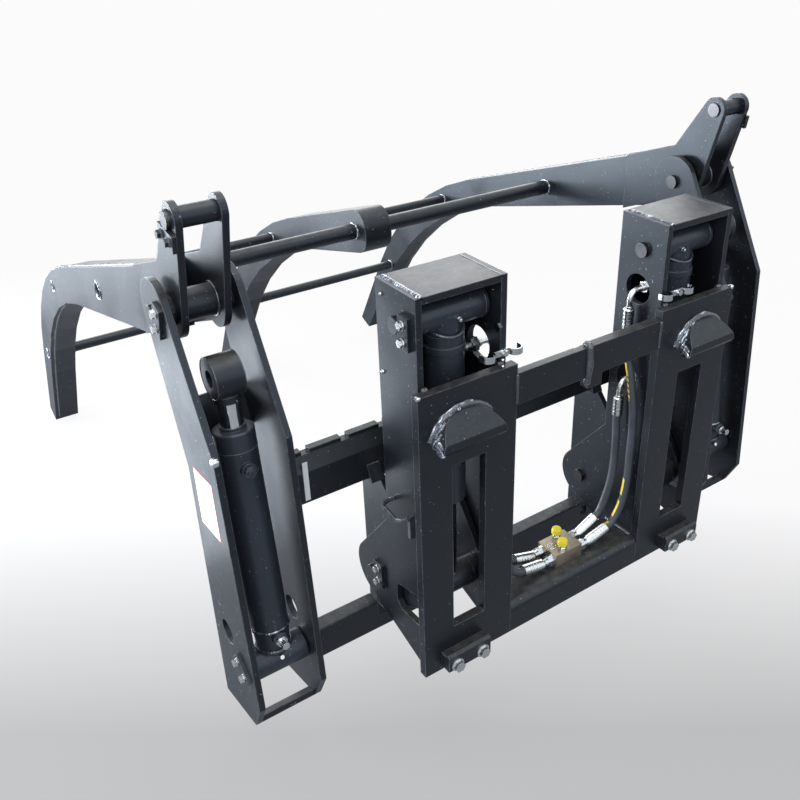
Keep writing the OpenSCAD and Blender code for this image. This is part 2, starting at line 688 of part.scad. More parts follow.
// Strips between the cheeks: one under the pivot along the front edge, one at the foot
module edge_strip(s, at, toward, from, l, t) {
    way = toward - at;
    slab(s, cheek_gap_x, cheek_gap) translate(at) rotate(atan2(way[1], way[0]))
        translate([from, 0]) square([l, t]);
}
module cheek_spreaders() {
    neck = [pivot_y + cheek_r * cos(-19), pivot_z + cheek_r * sin(-19)];
    color([0.1, 0.1, 0.11]) for (s = [-1, 1]) {
        edge_strip(s, cheek_front, neck, 38, 76, spreader_t);
        edge_strip(s, cheek_foot[0], cheek_foot[1], 0, foot_bar_w, plate_t);
    }
}
pad_w = 26;
pad_d = 20;
pad_z = upper_bar_z + 3;
pad_h = 32;
module gusset_pads() {
    color([0.1, 0.1, 0.11]) for (s = [-1, 1], x = [hinge_plate_x[0] - pad_w, hinge_plate_x[1] + plate_t])
        slab(s, x, pad_w) polygon([[bar_y, pad_z], [bar_y, pad_z + pad_h],
                                   [bar_y - 4, pad_z + pad_h], [bar_y - pad_d, pad_z]]);
}

// Pins of the front frame with their lock plates
module clamp_pivot_pins() {
    color([0.75, 0.75, 0.77]) for (s = [-1, 1])
        round_x(s, cheek_in - pin_stand, cheek_out - cheek_in + 2 * pin_stand, pivot_y, pivot_z, pin_r);
}
module cylinder_base_pins() {
    color([0.75, 0.75, 0.77]) for (s = [-1, 1])
        round_x(s, cheek_in - pin_stand, cheek_out - cheek_in + 2 * pin_stand, base_y, base_z, pin_r);
}
module lever_pins() {
    color([0.75, 0.75, 0.77]) for (s = [-1, 1])
        round_x(s, hinge_plate_x[0], hinge_plate_x[1] + plate_t - hinge_plate_x[0], lever_y, lever_z,
                lever_pin_r);
}
front_locks = [[cheek_out, pivot_y, pivot_z, 108, 8], [cheek_out, base_y, base_z, 40, 0]];
module front_lock_plates() {
    color([0.12, 0.12, 0.13]) for (s = [-1, 1], k = front_locks) lock_plate(s, k);
}
module front_lock_bolts() {
    color([0.8, 0.8, 0.82]) for (s = [-1, 1], k = front_locks) lock_bolts(s, k);
}

/* Clamp */
// Outer and inner edges of a tine; the long bends have one radius each
tip_w = 62;
bend_top = [1526, 413, 990];
bend_under = [1456, 367, 1080];
tip_under = [tip_y - tip_w * sin(62), tip_z - tip_w * cos(62) + 6];
function tine_outline(top, under, inset, end_r = 0) = rounded([
    [top[0], top[1] - inset, end_r], [bend_top[0], bend_top[1] - inset, bend_top[2] - inset],
    [tip_y - inset * 1.1, tip_z, 0], [tip_under[0] + inset * 1.1, tip_under[1], 0],
    [bend_under[0], bend_under[1] + inset, bend_under[2] + inset],
    [under[0], under[1] + inset, end_r]]);
module tine_solid(x0, w, top, under, inset, end_r = 0) {
    translate([x0, 0, 0]) rotate([90, 0, 90]) linear_extrude(w)
        polygon(tine_outline(top, under, inset, end_r));
}
tube_rear = [800, 594];
tube_front = [1300, 434];
tube_tip = [1650, 95];
tubes = [[tube_rear, tube_rear_d], [tube_front, tube_front_d], [tube_tip, tube_tip_d]];
module tine_bores(x0, w) {
    for (t = tubes) round_x(1, x0 - 1, w + 2, t[0][0], t[0][1], t[1] / 2);
}
lap_y = 489;
lap_top = [lap_y - 60, 766];
lap_under = [lap_y - 60, 636];
// Outer tines are channels that the outer plate closes; the inner lever plate laps their inner wall
module tine_channel() {
    difference() {
        tine_solid(tine_in, lever_gap, lap_top, lap_under, 0);
        tine_solid(tine_in + band_t, lever_gap, lap_top + [band_t, 0], lap_under + [band_t, 0], band_t);
        tine_bores(tine_in, lever_gap);
    }
}
module tine_left() { color([0.12, 0.12, 0.13]) mirror([1, 0, 0]) tine_channel(); }
module tine_right() { color([0.12, 0.12, 0.13]) tine_channel(); }
tine_end_r = 46;
module tine_middle() {
    top = tube_rear + [-52, 71];
    under = tube_rear + [-60, -40];
    color([0.12, 0.12, 0.13]) difference() {
        tine_solid(-tine_w / 2, tine_w, top, under, 0, tine_end_r);
        tine_solid(-tine_w / 2 + band_t, tine_w - 2 * band_t, top + [band_t, 0], under + [band_t, 0],
                   band_t, tine_end_r - band_t);
        tine_bores(-tine_w / 2, tine_w);
    }
}
module cross_tubes() {
    color([0.08, 0.08, 0.09]) for (t = tubes)
        tube_x(1, -lever_out, 2 * lever_out, t[0][0], t[0][1], t[1] / 2, t[1] / 2 - tube_t);
}

lever_crook = [pivot_y + 29, pivot_z + 74];
lap_end = [[lap_y, 616], [lap_y, 750]];
// Lever plates: the inner one ends on the tine, the outer one runs on as the tine's outer side
function lever_outline() = concat(
    [lever_crook], arc(clevis_y, clevis_z, lever_top_r, 35, 205, 14),
    arc(pivot_y, pivot_z, lever_low_r, 195, 290, 10), [lap_end[0], lap_end[1]]);
module lever_bores(s, x0) {
    round_x(s, x0 - 1, plate_t + 2, pivot_y, pivot_z, bore_r);
    round_x(s, x0 - 1, plate_t + 2, clevis_y, clevis_z, bore_r);
}
module inner_levers() {
    color([0.12, 0.12, 0.13]) for (s = [-1, 1]) difference() {
        slab(s, lever_in, plate_t) polygon(lever_outline());
        lever_bores(s, lever_in);
    }
}
module outer_levers() {
    color([0.12, 0.12, 0.13]) for (s = [-1, 1]) difference() {
        slab(s, lever_out - plate_t, plate_t) union() {
            polygon(lever_outline());
            polygon(tine_outline(lap_top, lap_under, 0));
        }
        lever_bores(s, lever_out - plate_t);
        for (t = tubes) round_x(s, lever_out - plate_t - 1, plate_t + 2, t[0][0], t[0][1], t[1] / 2);
    }
}
washer_t = lever_in - cheek_in - plate_t - 0.5;
module clamp_hubs() {
    color([0.1, 0.1, 0.11]) for (s = [-1, 1]) {
        tube_x(s, tine_in, lever_gap, pivot_y, pivot_z, clamp_hub_d / 2, bore_r);
        tube_x(s, lever_in - washer_t, washer_t, pivot_y, pivot_z, clamp_hub_d / 2, bore_r);
        tube_x(s, lever_out, washer_t, pivot_y, pivot_z, clamp_hub_d / 2, bore_r);
    }
}
module clevis_sleeves() {
    color([0.1, 0.1, 0.11]) for (s = [-1, 1])
        tube_x(s, tine_in + 0.2, lever_gap - 0.4, clevis_y, clevis_z, sleeve_r, pin_r + 0.1);
}
module clevis_pins() {
    color([0.75, 0.75, 0.77]) for (s = [-1, 1])
        round_x(s, lever_in - 3, lever_out - lever_in + 3 + pin_stand, clevis_y, clevis_z, pin_r);
}
clevis_lock = [lever_out, clevis_y, clevis_z, 190, 0];
module clevis_lock_plates() {
    color([0.12, 0.12, 0.13]) for (s = [-1, 1]) {
        lock_plate(s, clevis_lock);
        lock_bolts(s, clevis_lock);
    }
}

/* Cylinders */
barrel_top = 34;
barrel_neck_r = 31;
barrel_ring_at = 54;
barrel_ring_h = 12;
barrel_ring_r = tilt_barrel_d / 2 + 2.5;
barrel_floor = 12;
gland_l = 20;
piston_l = 40;
rod_top_gap = 110;
module tilt_barrel(s) {
    head_l = column_w - 2 * plate_t - 2 * side_clear;
    difference() {
        union() {
            round_x(s, column_in + plate_t + side_clear, head_l, head_y, head_z, head_tube_d / 2);
            translate([s * column_x, head_y, head_z]) rotate([180 - tilt_lean, 0, 0]) {
                cylinder(h = tilt_barrel_l, r = barrel_neck_r);
                translate([0, 0, barrel_top])
                    cylinder(h = tilt_barrel_l - barrel_top, r = tilt_barrel_d / 2);
                translate([0, 0, barrel_ring_at]) cylinder(h = barrel_ring_h, r = barrel_ring_r);
            }
        }
        round_x(s, column_in, column_w, head_y, head_z, bore_r);
        translate([s * column_x, head_y, head_z]) rotate([180 - tilt_lean, 0, 0]) {
            translate([0, 0, barrel_top + barrel_floor])
                cylinder(h = tilt_barrel_l - barrel_top - barrel_floor - gland_l, r = tilt_bore_d / 2);
            translate([0, 0, barrel_top + barrel_floor])
                cylinder(h = tilt_barrel_l, r = tilt_rod_d / 2 + pin_clear);
        }
    }
}
module tilt_barrel_left() { color([0.07, 0.07, 0.08]) tilt_barrel(-1); }
module tilt_barrel_right() { color([0.07, 0.07, 0.08]) tilt_barrel(1); }
module tilt_frame(s) {
    translate([s * column_x, lever_y, lever_z]) rotate([-tilt_lean, 0, 0]) children();
}
module tilt_rod(s) {
    inside = tilt_l - tilt_barrel_l + rod_top_gap;
    difference() {
        tilt_frame(s) {
            cylinder(h = inside, r = tilt_rod_d / 2);
            translate([0, 0, inside - piston_l])
                cylinder(h = piston_l, r = tilt_bore_d / 2 - pin_clear);
        }
        round_x(s, column_in, column_w, lever_y, lever_z, tilt_eye_d / 2 - 1);
    }
    tube_x(s, column_x - tilt_eye_l / 2, tilt_eye_l, lever_y, lever_z, tilt_eye_d / 2,
           lever_pin_r + lever_play);
}
module tilt_rod_left() { color([0.8, 0.8, 0.82]) tilt_rod(-1); }
module tilt_rod_right() { color([0.8, 0.8, 0.82]) tilt_rod(1); }

// Elbows that lead from the ports of a tilt barrel through the inner side plate, down to a hose
elbow_nut_l = 16;
elbow_nut_r = 14;
nipple_r = 11;
module port_elbow(at) {
    nut_x = column_in + plate_t + side_clear + 1;
    port_x = column_x - tilt_barrel_d / 2 + 2;
    round_x(1, nut_x + elbow_nut_l, port_x - nut_x - elbow_nut_l, at[0], at[1], nipple_r);
    translate([nut_x, at[0], at[1]]) rotate([0, 90, 0])
        cylinder(h = elbow_nut_l, r = elbow_nut_r, $fn = 6);
    round_x(1, elbow_x + elbow_bend, nut_x - elbow_x - elbow_bend, at[0], at[1], elbow_d / 2);
    translate([elbow_x + elbow_bend, at[0], at[1] - elbow_bend]) rotate([90, 0, 0])
        rotate([0, 0, 90]) rotate_extrude(angle = 90) translate([elbow_bend, 0]) circle(d = elbow_d);
    translate([elbow_x, at[0], at[1] - elbow_bend - elbow_drop])
        cylinder(h = elbow_drop, r = ferrule_d / 2);
}
module port_elbows(s) {
    mirror([s < 0 ? 1 : 0, 0, 0]) difference() {
        for (p = [port_upper, port_lower]) port_elbow(p);
        translate([column_x, head_y, head_z]) rotate([180 - tilt_lean, 0, 0])
            cylinder(h = tilt_barrel_l, r = tilt_barrel_d / 2);
    }
}
module port_elbows_left() { color([0.82, 0.82, 0.84]) port_elbows(-1); }
module port_elbows_right() { color([0.82, 0.82, 0.84]) port_elbows(1); }

base_tube_l = cheek_gap - 2 * side_clear;
clamp_foot = 73;
clamp_neck_r = [20, 33];
clamp_gland_l = 30;
clamp_rod_at = 78;
module clamp_frame(s) {
    translate([s * cheek_mid, base_y, base_z]) rotate([-clamp_lean, 0, 0]) children();
}
module clamp_barrel(s) {
    difference() {
        union() {
            round_x(s, cheek_gap_x + side_clear, base_tube_l, base_y, base_z, base_tube_d / 2);
            clamp_frame(s) {
                cylinder(h = clamp_foot, r1 = clamp_neck_r[0], r2 = clamp_neck_r[1]);
                translate([0, 0, clamp_foot])
                    cylinder(h = clamp_barrel_l - clamp_foot, r = clamp_barrel_d / 2);
            }
            clamp_bosses(s);
        }
        round_x(s, cheek_gap_x, cheek_gap, base_y, base_z, bore_r);
        clamp_frame(s) {
            translate([0, 0, clamp_foot + 2])
                cylinder(h = clamp_barrel_l - clamp_foot - clamp_gland_l - 2, r = clamp_bore_d / 2);
            translate([0, 0, clamp_rod_at]) cylinder(h = clamp_barrel_l, r = clamp_rod_d / 2 + pin_clear);
        }
    }
}
// Bosses on the rear of a clamp barrel, with the plug above and the fitting below
boss_at = [62, 415];
boss_r = 13;
boss_l = 18;
boss_sink = 10;
port_hex_h = 8;
port_hex_r = 11;
// Length of the round end on the fitting below and on the plug above
port_end_l = [16, 5];
port_end_r = 7;
grease_turn = 60;
grease_l = 8;
grease_r = 4;
module clamp_bosses(s) {
    clamp_frame(s) for (h = boss_at)
        translate([0, boss_sink - clamp_barrel_d / 2, h]) rotate([90, 0, 0]) cylinder(h = boss_l, r = boss_r);
}
module clamp_ports(s) {
    clamp_frame(s) for (i = [0, 1])
        translate([0, boss_sink - clamp_barrel_d / 2 - boss_l, boss_at[i]]) rotate([90, 0, 0]) {
            cylinder(h = port_hex_h, r = port_hex_r, $fn = 6);
            translate([0, 0, port_hex_h]) cylinder(h = port_end_l[i], r = port_end_r);
        }
    translate([s * cheek_mid, base_y, base_z]) rotate([grease_turn, 0, 0])
        translate([0, 0, base_tube_d / 2]) cylinder(h = grease_l, r = grease_r);
}
module clamp_ports_left() { color([0.82, 0.82, 0.84]) clamp_ports(-1); }
module clamp_ports_right() { color([0.82, 0.82, 0.84]) clamp_ports(1); }
module clamp_barrel_left() { color([0.07, 0.07, 0.08]) clamp_barrel(-1); }
module clamp_barrel_right() { color([0.07, 0.07, 0.08]) clamp_barrel(1); }
eye_clear = 0.1;
module clamp_eye_x(s, r, w) {
    clamp_frame(s) translate([-w / 2, 0, clamp_eye_at]) rotate([0, 90, 0]) cylinder(h = w, r = r);
}
module clamp_rod(s) {
    difference() {
        clamp_frame(s) translate([0, 0, clamp_rod_at]) {
            cylinder(h = clamp_eye_at - clamp_rod_at, r = clamp_rod_d / 2);
            cylinder(h = piston_l, r = clamp_bore_d / 2 - pin_clear);
        }
        clamp_eye_x(s, clamp_eye_d / 2, 2 * clamp_eye_w);
    }
}
module clamp_rod_eye(s) {
    difference() {
        clamp_eye_x(s, clamp_eye_d / 2, clamp_eye_w);
        clamp_eye_x(s, pin_r + eye_clear, 2 * clamp_eye_w);
    }
}
module clamp_rod_left() { color([0.8, 0.8, 0.82]) clamp_rod(-1); }
module clamp_rod_right() { color([0.8, 0.8, 0.82]) clamp_rod(1); }
module clamp_rod_eye_left() { color([0.08, 0.08, 0.09]) clamp_rod_eye(-1); }
module clamp_rod_eye_right() { color([0.08, 0.08, 0.09]) clamp_rod_eye(1); }

side_plates_left();
side_plates_right();
column_caps();
column_front_webs();
hook_plates();
upper_hooks();
lower_hooks();
lower_hook_bolts();
upper_cross_bar();
lower_cross_beam();
tilt_head_pins();
hinge_pins();
rear_lock_plates();
rear_lock_bolts();
valve_block();
valve_caps();
hose_fittings();
hose_right_upper();
hose_right_lower();
hose_left_upper();
hose_left_lower();
hose_guide_loop();
hose_clamps();
upper_fork_bar();
lower_fork_bar();
hinge_plates();
hinge_hubs();
gusset_pads();
outer_cheeks();
inner_cheeks();
cheek_spreaders();
clamp_pivot_pins();
cylinder_base_pins();
lever_pins();
front_lock_plates();
front_lock_bolts();
tine_left();
tine_middle();
tine_right();
cross_tubes();
outer_levers();
inner_levers();
clamp_hubs();
clevis_pins();
clevis_sleeves();
clevis_lock_plates();
tilt_barrel_left();
tilt_barrel_right();
tilt_rod_left();
tilt_rod_right();
clamp_rod_eye_left();
clamp_rod_eye_right();
port_elbows_left();
port_elbows_right();
clamp_barrel_left();
clamp_barrel_right();
clamp_rod_left();
clamp_rod_right();
clamp_ports_left();
clamp_ports_right();
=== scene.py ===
# %% [markdown]
# # A forklift rotating fork clamp
# This lesson dresses a finished CAD model of a forklift clamp for a photograph. The CAD model
# gives every steel plate, pin and cylinder its true shape and place. Blender adds what a drawing
# leaves out: the paint, the weld beads, the hoses' rubber, the zinc fittings and the light.

# %% Load the clamp
import json

import bpy
import numpy as np
from math import asin, cos, hypot, pi, radians, sin
from mathutils import Matrix, Vector


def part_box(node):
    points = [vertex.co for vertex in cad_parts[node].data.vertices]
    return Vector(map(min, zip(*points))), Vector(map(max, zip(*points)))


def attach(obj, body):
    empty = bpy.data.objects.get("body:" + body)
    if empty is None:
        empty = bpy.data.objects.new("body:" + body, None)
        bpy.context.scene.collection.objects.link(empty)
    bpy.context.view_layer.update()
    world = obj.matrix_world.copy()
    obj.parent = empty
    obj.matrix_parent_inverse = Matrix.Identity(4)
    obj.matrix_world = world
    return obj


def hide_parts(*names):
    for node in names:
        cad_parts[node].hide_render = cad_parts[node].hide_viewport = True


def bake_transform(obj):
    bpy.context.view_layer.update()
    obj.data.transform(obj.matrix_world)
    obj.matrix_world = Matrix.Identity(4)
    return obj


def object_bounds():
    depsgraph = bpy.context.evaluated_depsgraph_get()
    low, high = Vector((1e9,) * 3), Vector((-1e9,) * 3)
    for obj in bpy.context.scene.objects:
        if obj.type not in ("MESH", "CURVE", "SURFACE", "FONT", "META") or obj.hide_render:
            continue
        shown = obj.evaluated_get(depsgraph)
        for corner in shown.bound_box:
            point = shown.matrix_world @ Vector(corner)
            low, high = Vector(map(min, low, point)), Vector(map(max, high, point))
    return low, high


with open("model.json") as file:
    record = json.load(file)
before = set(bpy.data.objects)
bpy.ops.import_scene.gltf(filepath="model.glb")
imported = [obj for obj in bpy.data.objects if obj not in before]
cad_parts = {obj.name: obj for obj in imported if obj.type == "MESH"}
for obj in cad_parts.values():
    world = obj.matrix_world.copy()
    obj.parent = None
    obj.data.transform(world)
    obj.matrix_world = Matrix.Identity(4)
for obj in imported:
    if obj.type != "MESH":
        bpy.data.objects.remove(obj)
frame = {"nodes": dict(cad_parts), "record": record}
nodes = frame["nodes"]
cad_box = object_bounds()
mm = 0.001
print("CAD pieces:", len(nodes), "box:", [[round(c, 3) for c in corner] for corner in cad_box])

# %% [markdown]
# ## The camera
# The photographer stood behind the clamp, to its left and well above it. The camera's place and
# lens were worked out by matching corners of the CAD model to the same corners in the photograph.
# The turning order is heading first, then the downward tilt, then the small roll of the hand.

# %% Place the camera
camera_place = (-1.033, -1.012, 1.313)
heading = radians(-35.45)
down = radians(28.45)
roll = radians(-0.5)

camera_data = bpy.data.cameras.new("photographer")
camera_data.lens = 39.7
camera_data.shift_x = -0.0665
camera_data.shift_y = -0.0344
camera_data.clip_end = 60
camera = bpy.data.objects.new("photographer", camera_data)
camera.matrix_world = (
    Matrix.Translation(camera_place)
    @ Matrix.Rotation(heading, 4, "Z")
    @ Matrix.Rotation(pi / 2 - down, 4, "X")
    @ Matrix.Rotation(roll, 4, "Z")
)
bpy.context.scene.collection.objects.link(camera)
bpy.context.scene.camera = camera
bpy.context.scene.view_settings.view_transform = "Standard"
print("Lens", camera_data.lens, "mm at", camera_place)

# %% [markdown]
# ## Helpers for finishes
# Every finish starts as a new material with its Principled shader. Patches of noise, a change of
# one value into another and a small bump come back in all of them, so each gets a short helper.
# Noise reads object coordinates, which are metres here, so a scale of 100 makes centimetre spots.


# %% Helpers for finishes
class Finish:
    """A material under construction, with short names for the nodes that come back."""

    def __init__(self, name, color, roughness, metallic=0.0):
        self.material = bpy.data.materials.new(name)
        self.material.use_nodes = True
        self.tree = self.material.node_tree
        self.shader = self.tree.nodes["Principled BSDF"]
        self.shader.inputs["Base Color"].default_value = (*color, 1)
        self.shader.inputs["Roughness"].default_value = roughness
        self.shader.inputs["Metallic"].default_value = metallic
        self.place = self.tree.nodes.new("ShaderNodeTexCoord")

    def link(self, output, target):
        self.tree.links.new(output, target)

    def noise(self, scale, detail=3.0, stretch=(1, 1, 1)):
        mapping = self.tree.nodes.new("ShaderNodeMapping")
        mapping.inputs["Scale"].default_value = stretch
        self.link(self.place.outputs["Object"], mapping.inputs["Vector"])
        noise = self.tree.nodes.new("ShaderNodeTexNoise")
        noise.inputs["Scale"].default_value = scale
        noise.inputs["Detail"].default_value = detail
        self.link(mapping.outputs["Vector"], noise.inputs["Vector"])
        return noise.outputs["Fac"]

    def spread(self, value, low, high, to_low, to_high):
        spread = self.tree.nodes.new("ShaderNodeMapRange")
        self.link(value, spread.inputs["Value"])
        for socket, number in zip(
            ("From Min", "From Max", "To Min", "To Max"), (low, high, to_low, to_high)
        ):
            spread.inputs[socket].default_value = number
        return spread.outputs["Result"]

    def math(self, operation, first, second):
        node = self.tree.nodes.new("ShaderNodeMath")
        node.operation = operation
        for socket, value in zip(node.inputs, (first, second)):
            if isinstance(value, (int, float)):
                socket.default_value = value
            else:
                self.link(value, socket)
        return node.outputs["Value"]

    def mix(self, factor, first, second):
        mix = self.tree.nodes.new("ShaderNodeMix")
        mix.data_type = "RGBA"
        self.link(factor, mix.inputs["Factor"])
        for name, value in (("A", first), ("B", second)):
            socket = [s for s in mix.inputs if s.name == name and s.type == "RGBA"][0]
            if isinstance(value, tuple):
                socket.default_value = (*value, 1)
            else:
                self.link(value, socket)
        return [s for s in mix.outputs if s.type == "RGBA"][0]

    def bump(self, height, strength, distance, normal=None):
        bump = self.tree.nodes.new("ShaderNodeBump")
        bump.inputs["Strength"].default_value = strength
        bump.inputs["Distance"].default_value = distance
        self.link(height, bump.inputs["Height"])
        if normal is not None:
            self.link(normal, bump.inputs["Normal"])
        self.link(bump.outputs["Normal"], self.shader.inputs["Normal"])

    def round_edge(self, radius):
        """Edges catch the light as if they were rounded to this radius."""
        bevel = self.tree.nodes.new("ShaderNodeBevel")
        bevel.samples = 4
        bevel.inputs["Radius"].default_value = radius
        return bevel.outputs["Normal"]

    def facing_up(self):
        parts = self.tree.nodes.new("ShaderNodeSeparateXYZ")
        self.link(self.place.outputs["Normal"], parts.inputs["Vector"])
        return parts.outputs["Z"]


print("Helper:", Finish.__name__)

# %% [markdown]
# ## Black powder coat
# The steel is sprayed with black powder and baked, which leaves a satin skin with a faint
# orange-peel surface. Handling dulls it in clouds, dust settles on what faces up, and flame-cut
# edges are rounded, so they draw thin light lines. A plain dark colour would hide all that, so
# clouds drive the roughness, dust is mixed in by how far a face points up, and fine noise bumps
# it. The edges are also painted a lighter tone, partly rubbed paint and partly a painted
# highlight along them. The cylinders are sprayed with a lacquer that is a little lighter and
# glossier.


# %% Black powder coat
dust_tone, dot_tone, edge_wear_and_highlight_tone = (0.21, 0.195, 0.17), (0.3, 0.32, 0.35), (0.16, 0.175, 0.2)


def powder_coat(name, color=(0.006, 0.007, 0.009), roughness=(0.3, 0.46), dust=0.3):
    coat = Finish(name, color, 0.38)
    coat.shader.inputs["Specular Tint"].default_value = (0.8, 0.9, 1.0, 1)
    clouds = coat.noise(7, 6)
    coat.link(
        coat.spread(clouds, 0.3, 0.7, *roughness), coat.shader.inputs["Roughness"]
    )
    specks = coat.noise(60, 8)
    settled = coat.math(
        "MULTIPLY",
        coat.spread(coat.facing_up(), 0.55, 1.0, 0.0, dust),
        coat.spread(specks, 0.35, 0.75, 0.25, 1.0),
    )
    tone = coat.mix(clouds, color, tuple(c * 1.7 for c in color))
    rounded = coat.round_edge(0.0022)
    geometry = coat.tree.nodes.new("ShaderNodeNewGeometry")
    flatness = coat.tree.nodes.new("ShaderNodeVectorMath")
    flatness.operation = "DOT_PRODUCT"
    coat.link(rounded, flatness.inputs[0])
    coat.link(geometry.outputs["Normal"], flatness.inputs[1])
    edge = coat.spread(flatness.outputs["Value"], 0.86, 0.985, 1.0, 0.0)
    # Edges get a lighter tone: partly rubbed paint, partly a painted highlight along them.
    edge_wear_and_highlight = coat.math("MULTIPLY", edge, coat.spread(specks, 0.35, 0.6, 0.25, 1.0))
    dusty = coat.mix(settled, tone, dust_tone)
    dots = coat.spread(coat.noise(260, 0), 0.8, 0.84, 0.0, 0.7)
    dusty = coat.mix(dots, dusty, dot_tone)
    coat.link(coat.mix(edge_wear_and_highlight, dusty, edge_wear_and_highlight_tone), coat.shader.inputs["Base Color"])
    coat.bump(coat.noise(420, 2), 0.12, 0.0006, rounded)
    return coat.material


painted_steel = powder_coat("black powder coat")
painted_cylinder = powder_coat(
    "black cylinder lacquer", (0.02, 0.024, 0.031), (0.3, 0.42), dust=0.1
)
print("Finish:", painted_steel.name, "and", painted_cylinder.name)

# %% [markdown]
# ## Bright metals
# Bolts, elbows and ferrules are zinc plated: a silver skin with a faint yellow and blue cast.
# The rods are hard chrome, ground so finely that they mirror the room, with rings from the
# grinding. The pins are turned steel under a film of dark oil. All three are metals of different
# roughness, and stretched noise gives the grinding its direction.


# %% Bright metals
def zinc_plating():
    zinc = Finish("zinc plating", (0.78, 0.79, 0.8), 0.3, 1.0)
    zinc.link(
        zinc.mix(zinc.noise(90, 4), (0.7, 0.69, 0.62), (0.58, 0.63, 0.7)),
        zinc.shader.inputs["Base Color"],
    )
    zinc.link(
        zinc.spread(zinc.noise(200, 5), 0.3, 0.7, 0.14, 0.32),
        zinc.shader.inputs["Roughness"],
    )
    zinc.bump(zinc.noise(900, 2), 0.1, 0.0003, zinc.round_edge(0.0006))
    return zinc.material


def ground_chrome():
    chrome = Finish("hard chrome", (0.86, 0.87, 0.89), 0.09, 1.0)
    rings = chrome.noise(40, 4, (1, 1, 60))
    chrome.link(
        chrome.spread(rings, 0.3, 0.7, 0.05, 0.14), chrome.shader.inputs["Roughness"]
    )
    chrome.bump(rings, 0.05, 0.0002, chrome.round_edge(0.001))
    return chrome.material


def oiled_pin():
    pin = Finish("oiled pin steel", (0.1, 0.1, 0.105), 0.32, 1.0)
    pin.link(
        pin.mix(pin.noise(30, 6), (0.035, 0.036, 0.04), (0.14, 0.14, 0.14)),
        pin.shader.inputs["Base Color"],
    )
    pin.bump(pin.noise(500, 3), 0.15, 0.0004, pin.round_edge(0.0015))
    return pin.material


zinc = zinc_plating()
chrome = ground_chrome()
pin_steel = oiled_pin()
print("Finish:", zinc.name, chrome.name, pin_steel.name)

# %% [markdown]
# ## Weld metal and sticker vinyl
# Most weld beads were sprayed with the frame and look glossier than the plates, which a clear
# coat over dark metal gives. A few were laid or ground after the paint, and those are bright grey
# with dark streaks. The sticker is smooth white vinyl with faint clouds of dirt.


# %% Weld metal and sticker vinyl
def weld_metal():
    weld = Finish("painted weld bead", (0.05, 0.055, 0.06), 0.22, 0.35)
    weld.link(
        weld.mix(weld.noise(160, 5), (0.01, 0.011, 0.013), (0.13, 0.14, 0.16)),
        weld.shader.inputs["Base Color"],
    )
    weld.bump(weld.noise(380, 4), 0.5, 0.001)
    weld.shader.inputs["Coat Weight"].default_value = 0.6
    weld.shader.inputs["Coat Roughness"].default_value = 0.12
    return weld.material


def fresh_weld():
    weld = Finish("glossy weld", (0.3, 0.32, 0.35), 0.14, 0.8)
    weld.link(
        weld.mix(
            weld.spread(weld.noise(60, 6, (1, 4, 1)), 0.48, 0.62, 0.0, 1.0),
            (0.1, 0.11, 0.13),
            (0.5, 0.53, 0.58),
        ),
        weld.shader.inputs["Base Color"],
    )
    weld.bump(weld.noise(160, 3), 0.35, 0.0015)
    return weld.material


def blank_sticker():
    vinyl = Finish("blank white sticker", (0.86, 0.87, 0.9), 0.3)
    vinyl.link(
        vinyl.mix(vinyl.noise(20, 3), (0.82, 0.83, 0.86), (0.9, 0.91, 0.94)),
        vinyl.shader.inputs["Base Color"],
    )
    vinyl.bump(vinyl.noise(120, 2), 0.05, 0.0004)
    return vinyl.material


bead_finish = weld_metal()
glossy_weld = fresh_weld()
sticker_vinyl = blank_sticker()
print("Finish:", bead_finish.name, glossy_weld.name, sticker_vinyl.name)

# %% [markdown]
# ## Rubber, brass and yellow plastic
# Hoses have a smooth black cover that is slightly dull. The valve block is machined steel with
# a golden passivation, and yellow plastic caps close two of its ports. The covers need little
# light, the block needs fine milling lines, and the caps need a bright plastic with a soft shine.


# %% Rubber, brass and yellow plastic
def hose_rubber(name, marking=None):
    rubber = Finish(name, (0.04, 0.045, 0.055), 0.45)
    cover = rubber.mix(rubber.noise(35, 4), (0.03, 0.034, 0.042), (0.085, 0.095, 0.115))
    if marking:
        cover = marking(rubber, cover)
    rubber.link(cover, rubber.shader.inputs["Base Color"])
    rubber.bump(rubber.noise(600, 2), 0.2, 0.0004)
    return rubber.material


def milled_block():
    block = Finish("passivated block", (0.62, 0.47, 0.27), 0.36, 0.85)
    block.link(
        block.mix(block.noise(45, 5), (0.3, 0.25, 0.19), (0.52, 0.45, 0.36)),
        block.shader.inputs["Base Color"],
    )
    lines = block.noise(30, 5, (1, 40, 1))
    block.link(
        block.spread(lines, 0.3, 0.7, 0.26, 0.48), block.shader.inputs["Roughness"]
    )
    block.bump(lines, 0.12, 0.0003, block.round_edge(0.0012))
    return block.material


def yellow_cap():
    cap = Finish("yellow cap plastic", (0.86, 0.6, 0.02), 0.35)
    cap.link(
        cap.mix(cap.noise(50, 3), (0.92, 0.7, 0.02), (0.98, 0.8, 0.05)),
        cap.shader.inputs["Base Color"],
    )
    cap.bump(cap.noise(300, 2), 0.1, 0.0004, cap.round_edge(0.0012))
    cap.shader.inputs["Subsurface Weight"].default_value = 0.1
    return cap.material


plain_rubber = hose_rubber("hose rubber")
brass = milled_block()
yellow = yellow_cap()
print("Finish:", plain_rubber.name, brass.name, yellow.name)

# %% [markdown]
# ## Paint the CAD pieces
# Each CAD piece names the material slot that it was planned with. One table from slot to finish
# paints them all, then the barrels get their own glossier lacquer and the guide loop of round
# wire gets the finish of the beads.

